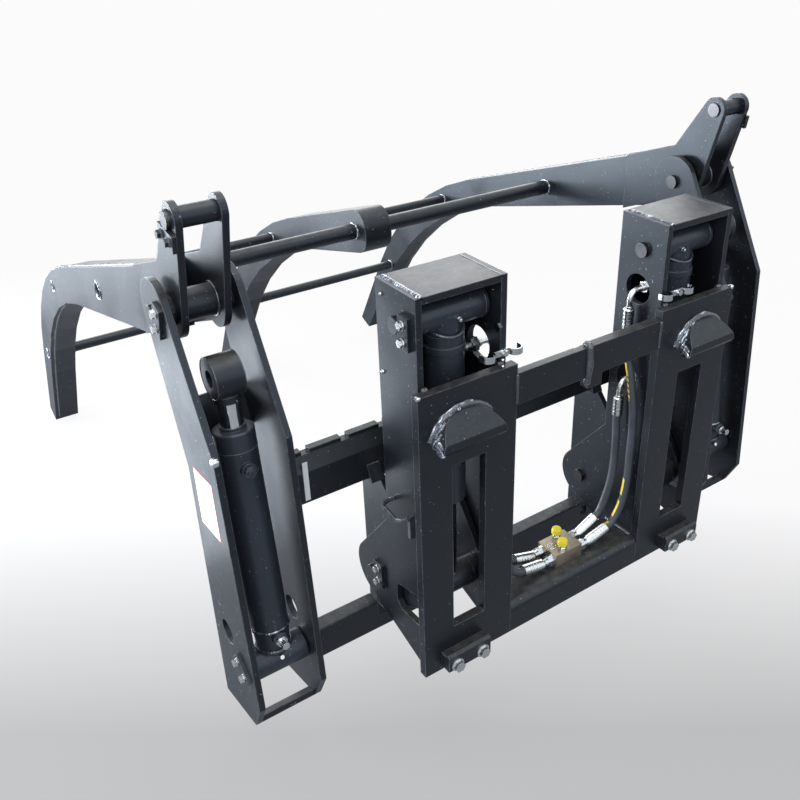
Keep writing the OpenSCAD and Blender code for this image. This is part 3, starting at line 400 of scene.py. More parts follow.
# %% Paint the CAD pieces
finish_of_slot = {
    "black_paint": painted_steel,
    "zinc_plate": zinc,
    "hard_chrome": chrome,
    "pin_steel": pin_steel,
    "hose_rubber": plain_rubber,
    "block_brass": brass,
    "yellow_plastic": yellow,
}
slot_of = {
    part["node"]: part["material_slot"] for part in frame["record"]["subparts"]
}
for name, piece in nodes.items():
    finish = finish_of_slot[slot_of[name]]
    if "_barrel_" in name:
        finish = painted_cylinder
    elif name == "hose_guide_loop":
        finish = bead_finish
    for material_slot in piece.material_slots:
        material_slot.material = finish
print("Painted", len(nodes), "pieces")

# %% [markdown]
# ## A tube along a path
# Hoses, wires and weld beads are all round sections carried along a path. Each ring is turned as
# little as possible from the one before it, which keeps the tube from twisting. The two texture
# directions are written too: round the tube, and along it in metres.


# %% A tube along a path
def add_piece(name, points, faces, finish):
    """A new mesh object in one finish; its points are metres."""
    mesh = bpy.data.meshes.new(name)
    mesh.from_pydata(points, [], faces)
    mesh.materials.append(finish)
    piece = bpy.data.objects.new(name, mesh)
    bpy.context.scene.collection.objects.link(piece)
    return piece


def even_path(points, step):
    """Points about one step apart along straight lines through the given points."""
    points = np.array(points, float)
    lengths = np.r_[0, np.cumsum(np.linalg.norm(np.diff(points, axis=0), axis=1))]
    count = max(2, int(round(lengths[-1] / step)) + 1)
    at = np.linspace(0, lengths[-1], count)
    return np.column_stack([np.interp(at, lengths, points[:, k]) for k in range(3)])


def smooth_path(points, step):
    """Evenly spaced points on a smooth curve through the given points."""
    points = np.array(points, float)
    ends = np.vstack([2 * points[0] - points[1], points, 2 * points[-1] - points[-2]])
    curve = []
    for a, b, c, d in zip(ends, ends[1:], ends[2:], ends[3:]):
        for t in np.linspace(0, 1, 12, endpoint=False):
            square = (2 * a - 5 * b + 4 * c - d) * t**2
            cube = (3 * b - a - 3 * c + d) * t**3
            curve.append(0.5 * (2 * b + (c - a) * t + square + cube))
    curve.append(points[-1])
    return even_path(curve, step)


def tube_mesh(name, path, radii, sides, finish, closed=False):
    """A tube of that many sides; radii is one radius or one for each point of the path."""
    path = np.array(path, float)
    count = len(path)
    if closed:
        ahead = np.roll(path, -1, 0) - np.roll(path, 1, 0)
    else:
        ahead = np.gradient(path, axis=0)
    ahead /= np.linalg.norm(ahead, axis=1)[:, None]
    side = np.cross(ahead[0], (0.31, 0.52, 0.79))
    radii = np.broadcast_to(np.asarray(radii, float), (count,))
    turn = np.linspace(0, 2 * pi, sides, endpoint=False)
    rings = []
    for k in range(count):
        side = side - ahead[k] * (side @ ahead[k])
        side = side / np.linalg.norm(side)
        up = np.cross(ahead[k], side)
        spokes = np.outer(np.cos(turn), side) + np.outer(np.sin(turn), up)
        rings.append(path[k] + radii[k] * spokes)
    faces = []
    for k in range(count if closed else count - 1):
        for s in range(sides):
            a, b = k * sides, (k + 1) % count * sides
            faces.append((a + s, a + (s + 1) % sides, b + (s + 1) % sides, b + s))
    if not closed:
        faces.append(tuple(range(sides))[::-1])
        faces.append(tuple((count - 1) * sides + s for s in range(sides)))
    piece = add_piece(name, np.vstack(rings).tolist(), faces, finish)
    piece.data.shade_smooth()
    along = np.r_[0, np.cumsum(np.linalg.norm(np.diff(path, axis=0), axis=1))]
    layer = piece.data.uv_layers.new(name="along")
    for face in piece.data.polygons:
        for corner in face.loop_indices:
            vertex = piece.data.loops[corner].vertex_index
            layer.data[corner].uv = (vertex % sides / sides, along[vertex // sides])
    return piece


sides = ((-1, "left"), (1, "right"))
print("Helpers:", smooth_path.__name__, tube_mesh.__name__)

# %% [markdown]
# ## The printed line of a hose
# A line is printed along a hose, so that a fitter sees whether it is twisted. It could be a thin
# strip of mesh, but ink has no thickness, so it is part of the rubber's colour. The tube's two
# texture directions place it: one says how far round, the other how far from the top.

# %% The printed line of a hose
line_side, line_width = 0.5, 0.1
whole_until, dashes_until, blocks_from = 0.1, 0.16, 0.35
dash_pitch, dash_share = 0.012, 0.6
block_pitch, block_share = 0.06, 0.72
ink = (0.85, 0.62, 0.05)


def lay_line(rubber, cover):
    """A yellow line: whole at the top, then slanted dashes, and long blocks further down."""
    uv = rubber.tree.nodes.new("ShaderNodeUVMap")
    uv.uv_map = "along"
    parts = rubber.tree.nodes.new("ShaderNodeSeparateXYZ")
    rubber.link(uv.outputs["UV"], parts.inputs["Vector"])
    around, along = parts.outputs["X"], parts.outputs["Y"]
    beside = rubber.math("ABSOLUTE", rubber.math("SUBTRACT", around, line_side), 0)
    on_line = rubber.math("LESS_THAN", beside, line_width)
    slant = rubber.math("ADD", along, rubber.math("MULTIPLY", around, 0.02))

    def stripes(pitch, share):
        turn = rubber.math("FRACT", rubber.math("DIVIDE", slant, pitch), 0)
        return rubber.math("LESS_THAN", turn, share)

    whole = rubber.math("LESS_THAN", along, whole_until)
    high = rubber.math("LESS_THAN", along, dashes_until)
    low = rubber.math("GREATER_THAN", along, blocks_from)
    dashes = rubber.math("MULTIPLY", stripes(dash_pitch, dash_share), high)
    blocks = rubber.math("MULTIPLY", stripes(block_pitch, block_share), low)
    shown = rubber.math("MAXIMUM", dashes, rubber.math("MAXIMUM", whole, blocks))
    return rubber.mix(rubber.math("MULTIPLY", on_line, shown), cover, ink)


marked_rubber = hose_rubber("marked hose rubber", lay_line)
print("Finish:", marked_rubber.name)

# %% [markdown]
# ## The hydraulic hoses
# Four hoses join the tilt cylinders' elbows to the valve block. They hang down behind the inner
# side plates and curve in over the ledge. The elbows swing a little as the frame tilts; each hose
# is laid as one fixed tube that bends smoothly from the elbow to the block. Each route is a short
# list of points in millimetres, from the elbow to the block.

# %% The hydraulic hoses
hose_radius, hose_step, hose_sides = 8.5 * mm, 6 * mm, 20
hose_routes = {
    "hose_right_upper": (
        (170, 79, 556), (170, 79, 532), (171, 71, 495), (172, 60, 455), (172, 51, 415),
        (172, 44, 380), (172, 41, 340), (172, 40, 300), (172, 40, 260), (172, 40, 220),
        (171, 41, 188), (168, 43, 157), (161, 45, 130), (150, 46, 110), (137, 46, 98),
        (124, 46, 94), (118, 46, 92.5),
    ),
    "hose_right_lower": (
        (170, 84, 352), (170, 84, 328), (168, 80, 300), (166, 77, 270), (164, 75, 240),
        (161, 74, 212), (156, 74, 182), (150, 76, 155), (144, 77, 135), (138, 78, 119),
        (129, 78, 107), (121, 78, 103.4), (115, 78, 100.5),
    ),
    "hose_left_upper": (
        (-170, 79, 556), (-170, 79, 532), (-171, 73, 490), (-172, 64, 450), (-172, 56, 410),
        (-172, 50, 370), (-172, 47, 325), (-171, 46, 280), (-170, 46, 240), (-168, 46, 200),
        (-161, 46, 162), (-151, 46, 131), (-138, 46, 107), (-121, 46, 93), (-109, 46, 90.2),
        (-103, 46, 89.2),
    ),
    "hose_left_lower": (
        (-170, 84, 352), (-170, 84, 328), (-170, 84, 285), (-168, 83, 250), (-165, 82, 215),
        (-159, 81, 182), (-150, 80, 150), (-137, 79, 120), (-122, 78, 102),
        (-107, 78, 96.7), (-101, 78, 94.8),
    ),
}
for name, route in hose_routes.items():
    path = smooth_path(np.array(route) * mm, hose_step)
    finish = marked_rubber if name == "hose_right_upper" else plain_rubber
    bent_name = name.replace("hose", "bent_hose")
    hose = tube_mesh(bent_name, path, hose_radius, hose_sides, finish)
    side = name.split("_")[1]
    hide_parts(name)
    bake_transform(hose)
    length = np.linalg.norm(np.diff(path, axis=0), axis=1).sum()
    print(name, "length", round(length, 3), "m")

# %% [markdown]
# ## Weld beads
# Nearly every joint is a fillet weld laid by hand: a thin rounded cord in the corner between two
# plates, with a ripple for each step of the torch. It could be a bump in the paint, but a real
# bead stands proud and catches the light, so each is a tube, half sunk in both plates, whose
# radius rises and falls every few millimetres.

# %% Weld beads
ripple, bead_step, bead_sides = 4.6 * mm, 1.5 * mm, 8


def weld_bead(name, body, path, radius=3.4, closed=False, finish=None):
    """path and radius are millimetres; the bead rides on the CAD body."""
    points = np.array(path, float) * mm
    if closed:
        points = np.vstack([points, points[:1]])
    path = even_path(points, bead_step)
    if closed:
        path = path[:-1]
    at = np.arange(len(path)) * bead_step
    wander = np.sin(at * 61 + len(name)) + np.sin(at * 143)
    radii = radius * mm * (1 + 0.16 * np.abs(np.sin(at * pi / ripple)) + 0.06 * wander)
    if not closed:
        radii[[0, -1]] *= 0.5
    bead = tube_mesh(name, path, radii, bead_sides, finish or bead_finish, closed)
    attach(bead, body)
    return bead


def turn_in(count):
    """That many angles, evenly spread over one whole turn."""
    return np.linspace(0, 2 * pi, count, endpoint=False)


def ring(x, y, z, radius):
    """A circle across the clamp, in millimetres."""
    return [(x, y + radius * cos(a), z + radius * sin(a)) for a in turn_in(40)]


print("A bead's ripple is", round(ripple / mm, 1), "mm long")

# %% [markdown]
# ## Welds of the hooks
# The half-moon hooks carry the whole load, so their arcs have the heaviest beads. At the left end
# several runs lie beside each other on the arc and run over the hook's end. Only these get bright
# glossy weld metal, a painted highlight where the light falls on that end.

# %% Welds of the hooks
hook_w, hook_crown, hook_ceiling, hook_x = 131, 50, 523, 293
hook_r = (hook_w**2 / 4 + hook_crown**2) / (2 * hook_crown)
hook_half = asin(hook_w / 2 / hook_r)
hook_middle = hook_ceiling + hook_crown - hook_r
# How deep and how far out each strand lies, how far it reaches over the arc, and its radius
hook_strands = ((-1, 5, 0.2, 3.4), (-4, 0, -0.1, 3.8), (-9, -1, -0.5, 4), (-15, -2, -0.72, 4))
# Points from the hook's left end, along X, then Y and Z
hook_ends = (
    ((0, -2, 524), (-1, -12, 527), (-1, -22, 526), (0, -31, 518), (0, -35, 511)),
    ((1, -4, 531), (1, -13, 532), (2, -23, 530), (2, -33, 523)),
    ((0, -8, 520), (-1, -18, 521), (-1, -27, 519), (0, -32, 512)),
)
for s, side in sides:
    arc = [
        (s * hook_x + hook_r * sin(a), -1.5, hook_middle + hook_r * cos(a) + 1)
        for a in np.linspace(-hook_half, hook_half, 24)
    ]
    weld_bead(f"hook_arc_weld_{side}", "rear_mount", arc[:21], 6)
    # Bright weld metal only at the left end of each hook: a painted highlight.
    for n, (deep, out, reach, thick) in enumerate(hook_strands):
        far = hook_r + out
        strand = [
            (s * hook_x + far * sin(a), deep + 1.2 * sin(19 * a + n), hook_middle + far * cos(a))
            for a in np.linspace(-hook_half, hook_half * reach, 16)
        ]
        name = f"hook_strand_{side}_{n}"
        weld_bead(name, "rear_mount", strand, thick, finish=glossy_weld)
    left_end = s * hook_x - hook_w / 2 + 1
    # The runs over the hook's end are bright too, the same painted highlight.
    for n, strand in enumerate(hook_ends):
        strand = [(left_end + x, y, z) for x, y, z in strand]
        weld_bead(f"hook_end_weld_{side}_{n}", "rear_mount", strand, 4, finish=glossy_weld)
print("Hooks welded, arc radius", round(hook_r, 1), "mm")

# %% [markdown]
# ## Welds of the columns
# Lighter beads join the columns to the hook plates, close the column caps and hold the cross
# members. The bead along the left edge of each cap is thick and of bright glossy metal, a painted
# highlight on the edge that faces the light.

# %% Welds of the columns
column_x, column_in, column_out, column_h, column_y = 280, 190, 370, 775, 135
side_t, plate_in, plate_t, plate_h = 12, 177.5, 18, 613
web_foot, bar_foot, bar_top, beam_top = 534, 535, 592, 66
for s, side in sides:
    for n, x in enumerate((column_out, column_in)):
        seam = [(s * x, plate_t + 1, z) for z in (12, plate_h - 12)]
        weld_bead(f"plate_seam_weld_{side}_{n}", "rear_mount", seam, 3.4)
    for n, x in enumerate((column_out - side_t, column_in + side_t)):
        # The cap's left edge gets a thick bright bead: a painted highlight on the edge facing the
        # light.
        left_edge_highlit = s * x < s * column_x
        cap_edge = [(s * x, y, column_h - 2) for y in (plate_t, column_y - 3)]
        cap_finish = glossy_weld if left_edge_highlit else bead_finish
        cap_bead = 4.4 if left_edge_highlit else 2.4
        weld_bead(f"cap_weld_{side}_{n}", "rear_mount", cap_edge, cap_bead, finish=cap_finish)
        web_edge = [(s * x, column_y - 2, z) for z in (web_foot, column_h - 4)]
        weld_bead(f"front_web_weld_{side}_{n}", "rear_mount", web_edge, 3)
        top_edge = [(s * (x + across), plate_t + 0.5, plate_h) for across in (-6, 6)]
        weld_bead(f"plate_top_weld_{side}_{n}", "rear_mount", top_edge, 5)
    bar_edge = [(s * plate_in, y, z) for y, z in ((2, bar_top), (0.5, 590), (0.5, bar_foot))]
    weld_bead(f"cross_bar_weld_{side}", "rear_mount", bar_edge, 3)
    beam_edge = [(s * plate_in, y, beam_top) for y in (97, 20)]
    weld_bead(f"beam_weld_{side}", "rear_mount", beam_edge, 4)
splice = [(-8, 14, 595), (-8, 2, 595), (-7, -0.5, 560), (-9, 0, 534), (-10, 2, 522)]
weld_bead("splice_weld", "rear_mount", splice + [(-6, 3, 518)], 6.5)
print("Columns welded up to", column_h, "mm")

# %% [markdown]
# ## The tine's outline
# Each outer tine is a channel that its outer plate closes, so a long bead follows the tine's
# whole curve. The same rounded outline as in the drawing is built again here from its corner
# points and bend radii, which keeps the bead on the seam all the way.


# %% The tine's outline
def bend(before, corner, after, radius, count=40):
    """Points round a bend of that radius between two straight lines, in millimetres."""
    p, a, b = (np.array(v, float) for v in (corner, before, after))
    u, v = (a - p) / np.linalg.norm(a - p), (b - p) / np.linalg.norm(b - p)
    half = np.arccos(u @ v) / 2
    centre = p + (u + v) / np.linalg.norm(u + v) * radius / sin(half)
    start, end = p + u * radius / np.tan(half), p + v * radius / np.tan(half)
    angle = pi - 2 * half
    first, last = start - centre, end - centre
    return [
        centre + (np.sin((1 - t) * angle) * first + np.sin(t * angle) * last) / np.sin(angle)
        for t in np.linspace(0, 1, count)
    ]


tine_tip, tip_w, tip_lean = (1892, -210), 62, radians(62)
tip_under = (tine_tip[0] - tip_w * sin(tip_lean), tine_tip[1] - tip_w * cos(tip_lean) + 6)
tine_top_line = bend((429, 766), (1526, 413), tine_tip, 990)
tine_under_line = bend((429, 636), (1456, 367), tip_under, 1080)
print("Tine outline:", len(tine_top_line), "points over the top")

# %% [markdown]
# ## Welds of the clamp
# Besides the long seams, a bead goes round every cross tube where it passes a tine's plate, and
# round the hub tubes of the levers. The beads of the tubes were laid last and are still glossy.

# %% Welds of the clamp
seam_x, lap_x = 636.5, 576
pivot_y, pivot_z = 315, 728
# Y, Z and radius of each cross tube, then the plates that the tubes pass
cross_tubes = ((800, 594, 19), (1300, 434, 14), (1650, 95, 15))
plate_faces = (("outer", 648), ("inner", 576), ("middle", 36))
for s, side in sides:
    top_seam = [(489, 747), *tine_top_line, (1884, -190)]
    top_seam = [(s * seam_x, y, z) for y, z in top_seam]
    weld_bead(f"tine_top_weld_{side}", "clamp", top_seam, 2.6)
    under_seam = [(489, 620), *tine_under_line, (tip_under[0] - 8, tip_under[1] + 16)]
    under_seam = [(s * seam_x, y, z) for y, z in under_seam]
    weld_bead(f"tine_under_weld_{side}", "clamp", under_seam, 2.6)
    lap = [(s * lap_x, 490, z) for z in (618, 748)]
    weld_bead(f"lap_weld_{side}", "clamp", lap, 4)
    for n, (y, z, r) in enumerate(cross_tubes):
        for where, x in plate_faces:
            name = f"tube_weld_{where}_{side}_{n}"
            weld_bead(name, "clamp", ring(s * x, y, z, r + 0.6), 3, True, glossy_weld)
    for n, x in enumerate((576.5, seam_x)):
        hub = ring(s * x, pivot_y, pivot_z, 28.5)
        weld_bead(f"hub_weld_{side}_{n}", "clamp", hub, 3, closed=True)
print("Clamp welded, cross tubes:", len(cross_tubes))

# %% [markdown]
# ## Welds of the front frame
# The two fork bars meet the cheeks with a bead all round, which follows the bar's own section.
# Short beads hold the hinge plates on the lower edge of the upper bar.

# %% Welds of the front frame
cheek_in = 537
hinge_faces = (205, 217, 343, 355)
bar_sections = {
    "upper": ((185, 356), (185, 416), (203, 444), (203, 450), (219, 450), (219, 356)),
    "lower": ((185, -20), (185, 45), (220, 45), (220, -20)),
}
for s, side in sides:
    for level, section in bar_sections.items():
        around = [(s * cheek_in, y, z) for y, z in section]
        weld_bead(f"{level}_bar_weld_{side}", "front_frame", around, 4, closed=True)
    for n, x in enumerate(hinge_faces):
        edge = [(s * x, y, 352) for y in (186, 219)]
        weld_bead(f"hinge_plate_weld_{side}_{n}", "front_frame", edge, 4)
print("Front frame welded, bars:", *bar_sections)

# %% [markdown]
# ## Turned fittings
# Fittings are turned on a lathe from round or six-sided bar. Each is built from bands of a round
# or six-sided profile, which is a list of distances along the axis with a radius for each. Every
# band has its own points, so that its shoulders stay crisp under smooth shading.


# %% Turned fittings
class Turned:
    """Round and six-sided solids gathered into one piece; all numbers are millimetres."""

    def __init__(self):
        self.points, self.faces, self.smooth = [], [], []

    def add(self, start, toward, profile, sides=28):
        start, toward = np.array(start, float), np.array(toward, float)
        toward /= np.linalg.norm(toward)
        side = np.cross(toward, (0.13, 0.31, 0.94) if abs(toward[2]) < 0.9 else (1, 0, 0))
        side /= np.linalg.norm(side)
        up = np.cross(toward, side)
        turn = turn_in(sides)
        around = np.outer(np.cos(turn), side) + np.outer(np.sin(turn), up)
        for (d0, r0), (d1, r1) in zip(profile, profile[1:]):
            first = len(self.points)
            self.points += (start + toward * d0 + around * r0).tolist()
            self.points += (start + toward * d1 + around * r1).tolist()
            for k in range(sides):
                a, b = first + k, first + (k + 1) % sides
                self.faces.append((a, b, b + sides, a + sides))
                self.smooth.append(sides > 6)
        for (d, r), flip in ((profile[0], -1), (profile[-1], 1)):
            first = len(self.points)
            self.points += (start + toward * d + around * r).tolist()
            self.faces.append(tuple(range(first, first + sides))[::flip])
            self.smooth.append(False)

    def piece(self, name, finish):
        points = (np.array(self.points) * mm).tolist()
        piece = add_piece(name, points, self.faces, finish)
        for face, smooth in zip(piece.data.polygons, self.smooth):
            face.use_smooth = smooth
        return piece


def ferrule_profile(length, root, crest):
    """A crimped sleeve: a collar, then rings pressed into the skirt."""
    profile = [(0, root - 3), (0, root), (4, root), (6, crest)]
    at, pressed = 9, crest - 0.35
    while at < length - 8:
        profile += [(at, crest), (at + 1.5, pressed), (at + 3, pressed), (at + 4.5, crest)]
        at += 8
    return profile + [(length - 1, crest), (length, crest - 1)]


print("A ferrule's profile has", len(ferrule_profile(47, 8, 11.2)), "points")

# %% [markdown]
# ## Elbows
# The elbows are thin bent pipes with a hexagon nut at the port and a crimped ferrule on the hose.
# A ferrule is squeezed in a press with several jaws, which leaves rings round it. The bend is a
# row of short straight pieces, short enough to look round.

# %% Elbows
port_x, nut_x, neck_x, bend_x, hose_x = 245, 222, 206, 190, 170
elbow_ports = ((79, 630), (84, 427))
bend_r = bend_x - hose_x
stub = [(0, 9), (8, 9), (8, 11), (22, 11), (23, 8)]
nut = [(0, 12), (1.5, 14), (14.5, 14), (16, 12)]
neck = [(0, 8.5), (6, 8.5), (8, 6.2), (12, 6.2)]
for s, side in sides:
    fitting = Turned()
    inward = (-s, 0, 0)
    for y, z in elbow_ports:
        fitting.add((s * port_x, y, z), inward, stub)
        fitting.add((s * nut_x, y, z), inward, nut, 6)
        fitting.add((s * neck_x, y, z), inward, neck)
        bent = [(s * (bend_x + 10), y, z), (s * bend_x, y, z)]
        bent += [
            (s * (bend_x - bend_r * sin(a)), y, z - bend_r * (1 - cos(a)))
            for a in np.linspace(0.1, pi / 2, 14)
        ]
        bent += [(s * hose_x, y, z - 36)]
        for a, b in zip(bent, bent[1:]):
            step = np.subtract(b, a)
            fitting.add(a, step, [(-0.4, 6), (np.linalg.norm(step) + 0.4, 6)], 20)
        fitting.add((s * hose_x, y, z - 32), (0, 0, -1), ferrule_profile(47, 8, 11.2))
    elbows = fitting.piece(f"bent_elbows_{side}", zinc)
    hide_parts(f"port_elbows_{side}")
    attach(elbows, f"tilt_barrel_{side}_body")
print("Elbows:", len(elbows.data.polygons), "faces a pair")

# %% [markdown]
# ## Ferrules and caps of the valve block
# At the block each hose ends in a straight ferrule, so its rings are laid over the CAD sleeve.
# Two spare ports carry yellow screw caps on short adapters, which stand higher than the plain
# caps of the drawing, and a flush plug shows as two thin rings.

# %% Ferrules and caps of the valve block
crimps = Turned()
for route in hose_routes.values():
    end, before = np.array(route[-1], float), np.array(route[-2], float)
    ahead = (end - before) / np.linalg.norm(end - before)
    sleeve = [(d, r - 0.9) for d, r in ferrule_profile(40, 11.5, 12.9)]
    crimps.add(end - ahead * 2, ahead, sleeve)
block_crimps = crimps.piece("crimped_ferrules", zinc)
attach(block_crimps, "rear_mount")

adapters, screw_caps, plug = Turned(), Turned(), Turned()
block_x, block_y = 8, 34
block_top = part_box("valve_block")[1][2] / mm
upward = (0, 0, 1)
cap_profile = [(12, 10.2), (12.6, 10.9), (21, 10.9), (22, 10.2), (24, 9.8), (25, 8.8)]
for x, y in ((5, 47), (-10, 11)):
    seat = (block_x + x, block_y + y, block_top)
    adapters.add(seat, upward, [(0, 9), (0.6, 9.6), (6.4, 9.6), (7, 9)], 6)
    adapters.add(seat, upward, [(6.8, 7), (10, 7), (10, 8), (12.5, 8)])
    screw_caps.add(seat, upward, cap_profile)
plug_seat = (block_x - 23, block_y + 30, block_top)
for outer, inner in ((9.4, 8.2), (4.6, 3.5)):
    plug.add(plug_seat, upward, [(-0.5, outer), (0.7, outer), (0.7, inner), (-0.5, inner)])
caps = screw_caps.piece("screw_caps", yellow)
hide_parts("valve_caps")
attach(caps, "rear_mount")
for name, parts in (("cap_adapters", adapters), ("block_plug", plug)):
    fitting = parts.piece(name, zinc)
    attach(fitting, "rear_mount")
print("The block's top is at", round(block_top, 1), "mm")

# %% [markdown]
# ## Details of the clamp cylinders
# A weld ring joins each barrel to its foot, and a turned ring closes the gland above. The upper
# port was sprayed with the barrel, so it gets the lacquer too. A collar sits under the rod's
# eye, and the worn rims of the eye draw two thin bright lines.

# %% Details of the clamp cylinders
clamp_lean = radians(6)
cheek_mid, base_y, base_z = 606.5, 172, 56
foot_h, ring_h, gland_h, collar_h, eye_h = 14, 75, 449, 530, 576
eye_rim, upper_port_z = 36.4, 0.3
foot_cone = [(0, 26), (16, 31), (58, 33.6), (61, 33.6)]
gland_nut = [(0, 35.4), (30, 35.4), (32, 33.5), (32, 22), (38, 22)]
gland_ring = [(0, 35), (0.6, 35.7), (2.4, 35.7), (3, 35)]


def up_clamp(s, h, out=(0, 0)):
    """A point h above the base pin along a clamp cylinder; out is across X and to the rear."""
    y, z = h * sin(clamp_lean) - out[1] * cos(clamp_lean), h * cos(clamp_lean)
    return (s * cheek_mid + out[0], base_y + y, base_z + z + out[1] * sin(clamp_lean))


def loop_up_clamp(s, h, radius):
    return [up_clamp(s, h, (radius * cos(a), radius * sin(a))) for a in turn_in(48)]


for s, side in sides:
    barrel, rod = f"clamp_barrel_{side}_body", f"clamp_rod_{side}_body"
    foot_ring = loop_up_clamp(s, ring_h, 34.6)
    weld_bead(f"foot_ring_{side}", barrel, foot_ring, 2.6, True, glossy_weld)
    weld_bead(f"foot_weld_{side}", barrel, loop_up_clamp(s, 29, 31), 4, True)
    axis = np.subtract(up_clamp(s, 1), up_clamp(s, 0))
    gland = Turned()
    gland.add(up_clamp(s, foot_h), axis, foot_cone, 48)
    gland.add(up_clamp(s, gland_h), axis, gland_nut, 48)
    gland.add(up_clamp(s, gland_h - 5), axis, gland_ring, 48)
    ring_piece = gland.piece(f"clamp_gland_{side}", painted_cylinder)
    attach(ring_piece, barrel)
    ports = nodes[f"clamp_ports_{side}"]
    ports.data.materials.append(painted_cylinder)
    for face in ports.data.polygons:
        if (ports.matrix_world @ face.center).z > upper_port_z:
            face.material_index = len(ports.data.materials) - 1
    collar = Turned()
    collar.add(up_clamp(s, collar_h), axis, [(0, 21), (1, 23.5), (13, 23.5), (15, 21.5)], 40)
    collar_piece = collar.piece(f"rod_collar_{side}", painted_steel)
    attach(collar_piece, rod)
    x, y, z = up_clamp(s, eye_h)
    for n, across in enumerate((-24, 24)):
        rim = [(x + across, y + eye_rim * cos(a), z + eye_rim * sin(a)) for a in turn_in(60)]
        weld_bead(f"eye_edge_{side}_{n}", rod, rim, 0.9, True)
print("Clamp cylinders: gland", gland_h, "mm and eye", eye_h, "mm above the base pin")

# %% [markdown]
# ## Details of the tilt cylinders
# The eye of a tilt rod is black while the rod stays bright, and two spacers keep it in the middle
# of its clevis. Rod and eye are one CAD piece, so the faces near the lever pin take the black
# finish. Each head tube has a grease nipple and two grooves, and a bead joins it to its barrel.

# %% Details of the tilt cylinders
tilt_x, head_y, head_z = 280, 74, 713
lever_y, lever_z, eye_r = 68, 145, 28.6
head_r, nipple_x = 28, 268
spacer = [(0, 22), (0, 27), (17.3, 27), (17.3, 22)]
for s, side in sides:
    barrel, rod = f"tilt_barrel_{side}_body", f"tilt_rod_{side}_body"
    spacers = Turned()
    for across in (-62.5, 45.2):
        spacers.add((s * tilt_x + across, lever_y, lever_z), (1, 0, 0), spacer, 40)
    spacer_piece = spacers.piece(f"eye_spacers_{side}", painted_steel)
    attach(spacer_piece, rod)
    rod_node = nodes[f"tilt_rod_{side}"]
    rod_node.data.materials.append(painted_steel)
    black = len(rod_node.data.materials) - 1
    for face in rod_node.data.polygons:
        middle = rod_node.matrix_world @ face.center
        if hypot(middle.y - lever_y * mm, middle.z - lever_z * mm) < eye_r * mm:
            face.material_index = black
    nipple = Turned()
    outward = (0, -cos(radians(14)), -sin(radians(14)))
    foot = (s * nipple_x, head_y + head_r * outward[1], head_z + head_r * outward[2])
    nipple.add(foot, outward, [(0, 4.5), (3, 4.5), (3, 3), (6, 3.6), (8, 3.6), (9, 2)], 12)
    nipple_piece = nipple.piece(f"head_nipple_{side}", zinc)
    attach(nipple_piece, barrel)
    for n, x in enumerate((tilt_x - 69, tilt_x + 69)):
        groove = ring(s * x, head_y, head_z, head_r + 0.8)
        weld_bead(f"head_groove_{side}_{n}", barrel, groove, 0.9, True)
    saddle = [
        (s * tilt_x + 34 * cos(a), head_y + 34 * sin(a), head_z - 30 + 5 * cos(2 * a))
        for a in turn_in(40)
    ]
    weld_bead(f"head_foot_weld_{side}", barrel, saddle, 3, True)
print("Tilt cylinders: head tube at", head_z, "mm, lever pin at", lever_z, "mm")

# %% [markdown]
# ## The sticker
# A blank white sticker with a thin red edge is stuck on the left outer cheek. It is a sheet a
# quarter of a millimetre thick, laid on a red one that is a little larger.


# %% The sticker
def thin_plate(name, body, corners, lift, finish):
    """A four-cornered sheet on a face; lift is its thickness vector in millimetres."""
    low = [np.array(c, float) for c in corners]
    high = [c + np.array(lift, float) for c in low]
    faces = [(0, 1, 2, 3), (7, 6, 5, 4)]
    faces += [(k, k + 4, (k + 1) % 4 + 4, (k + 1) % 4) for k in range(4)]
    plate = add_piece(name, [tuple(c * mm) for c in low + high], faces, finish)
    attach(plate, body)
    return plate


red_edge = Finish("red sticker edge", (0.6, 0.06, 0.05), 0.35)
red_edge.link(
    red_edge.mix(red_edge.noise(30), (0.55, 0.05, 0.045), (0.65, 0.08, 0.06)),
    red_edge.shader.inputs["Base Color"],
)
cheek_x, sheet = -675, (-0.25, 0, 0)
edge_corners = [(cheek_x, y, z) for y, z in ((252, 467), (168, 475), (166, 358), (252, 350))]
vinyl_x = cheek_x - 0.2
vinyl_corners = [(vinyl_x, y, z) for y, z in ((250, 465), (170, 473), (168, 360), (250, 352))]
thin_plate("sticker_edge", "front_frame", edge_corners, sheet, red_edge.material)
thin_plate("sticker", "front_frame", vinyl_corners, sheet, sticker_vinyl)
print("Sticker at x", cheek_x, "mm")

# %% [markdown]
# ## Small bright marks
# A thin white strip on the upper fork bar and weld dots of bright zinc at the columns' corners
# break up the black: both are painted highlights, where light catches the bar's end and the
# corners. Each dot is a very short bead. A small bolt sits in the left column.

# %% Small bright marks
strip_y, strip_foot, strip_top = 185.2, 360, 441
# A thin white sheet at each end of the upper bar: a painted highlight where light catches its
# end.
for s, side in sides:
    corners = [
        (s * x, strip_y, z)
        for x, z in ((507, strip_foot), (497, strip_foot), (497, strip_top), (507, strip_top))
    ]
    name = f"ground_strip_{side}"
    thin_plate(name, "front_frame", corners, (0, -0.5, 0), sticker_vinyl)
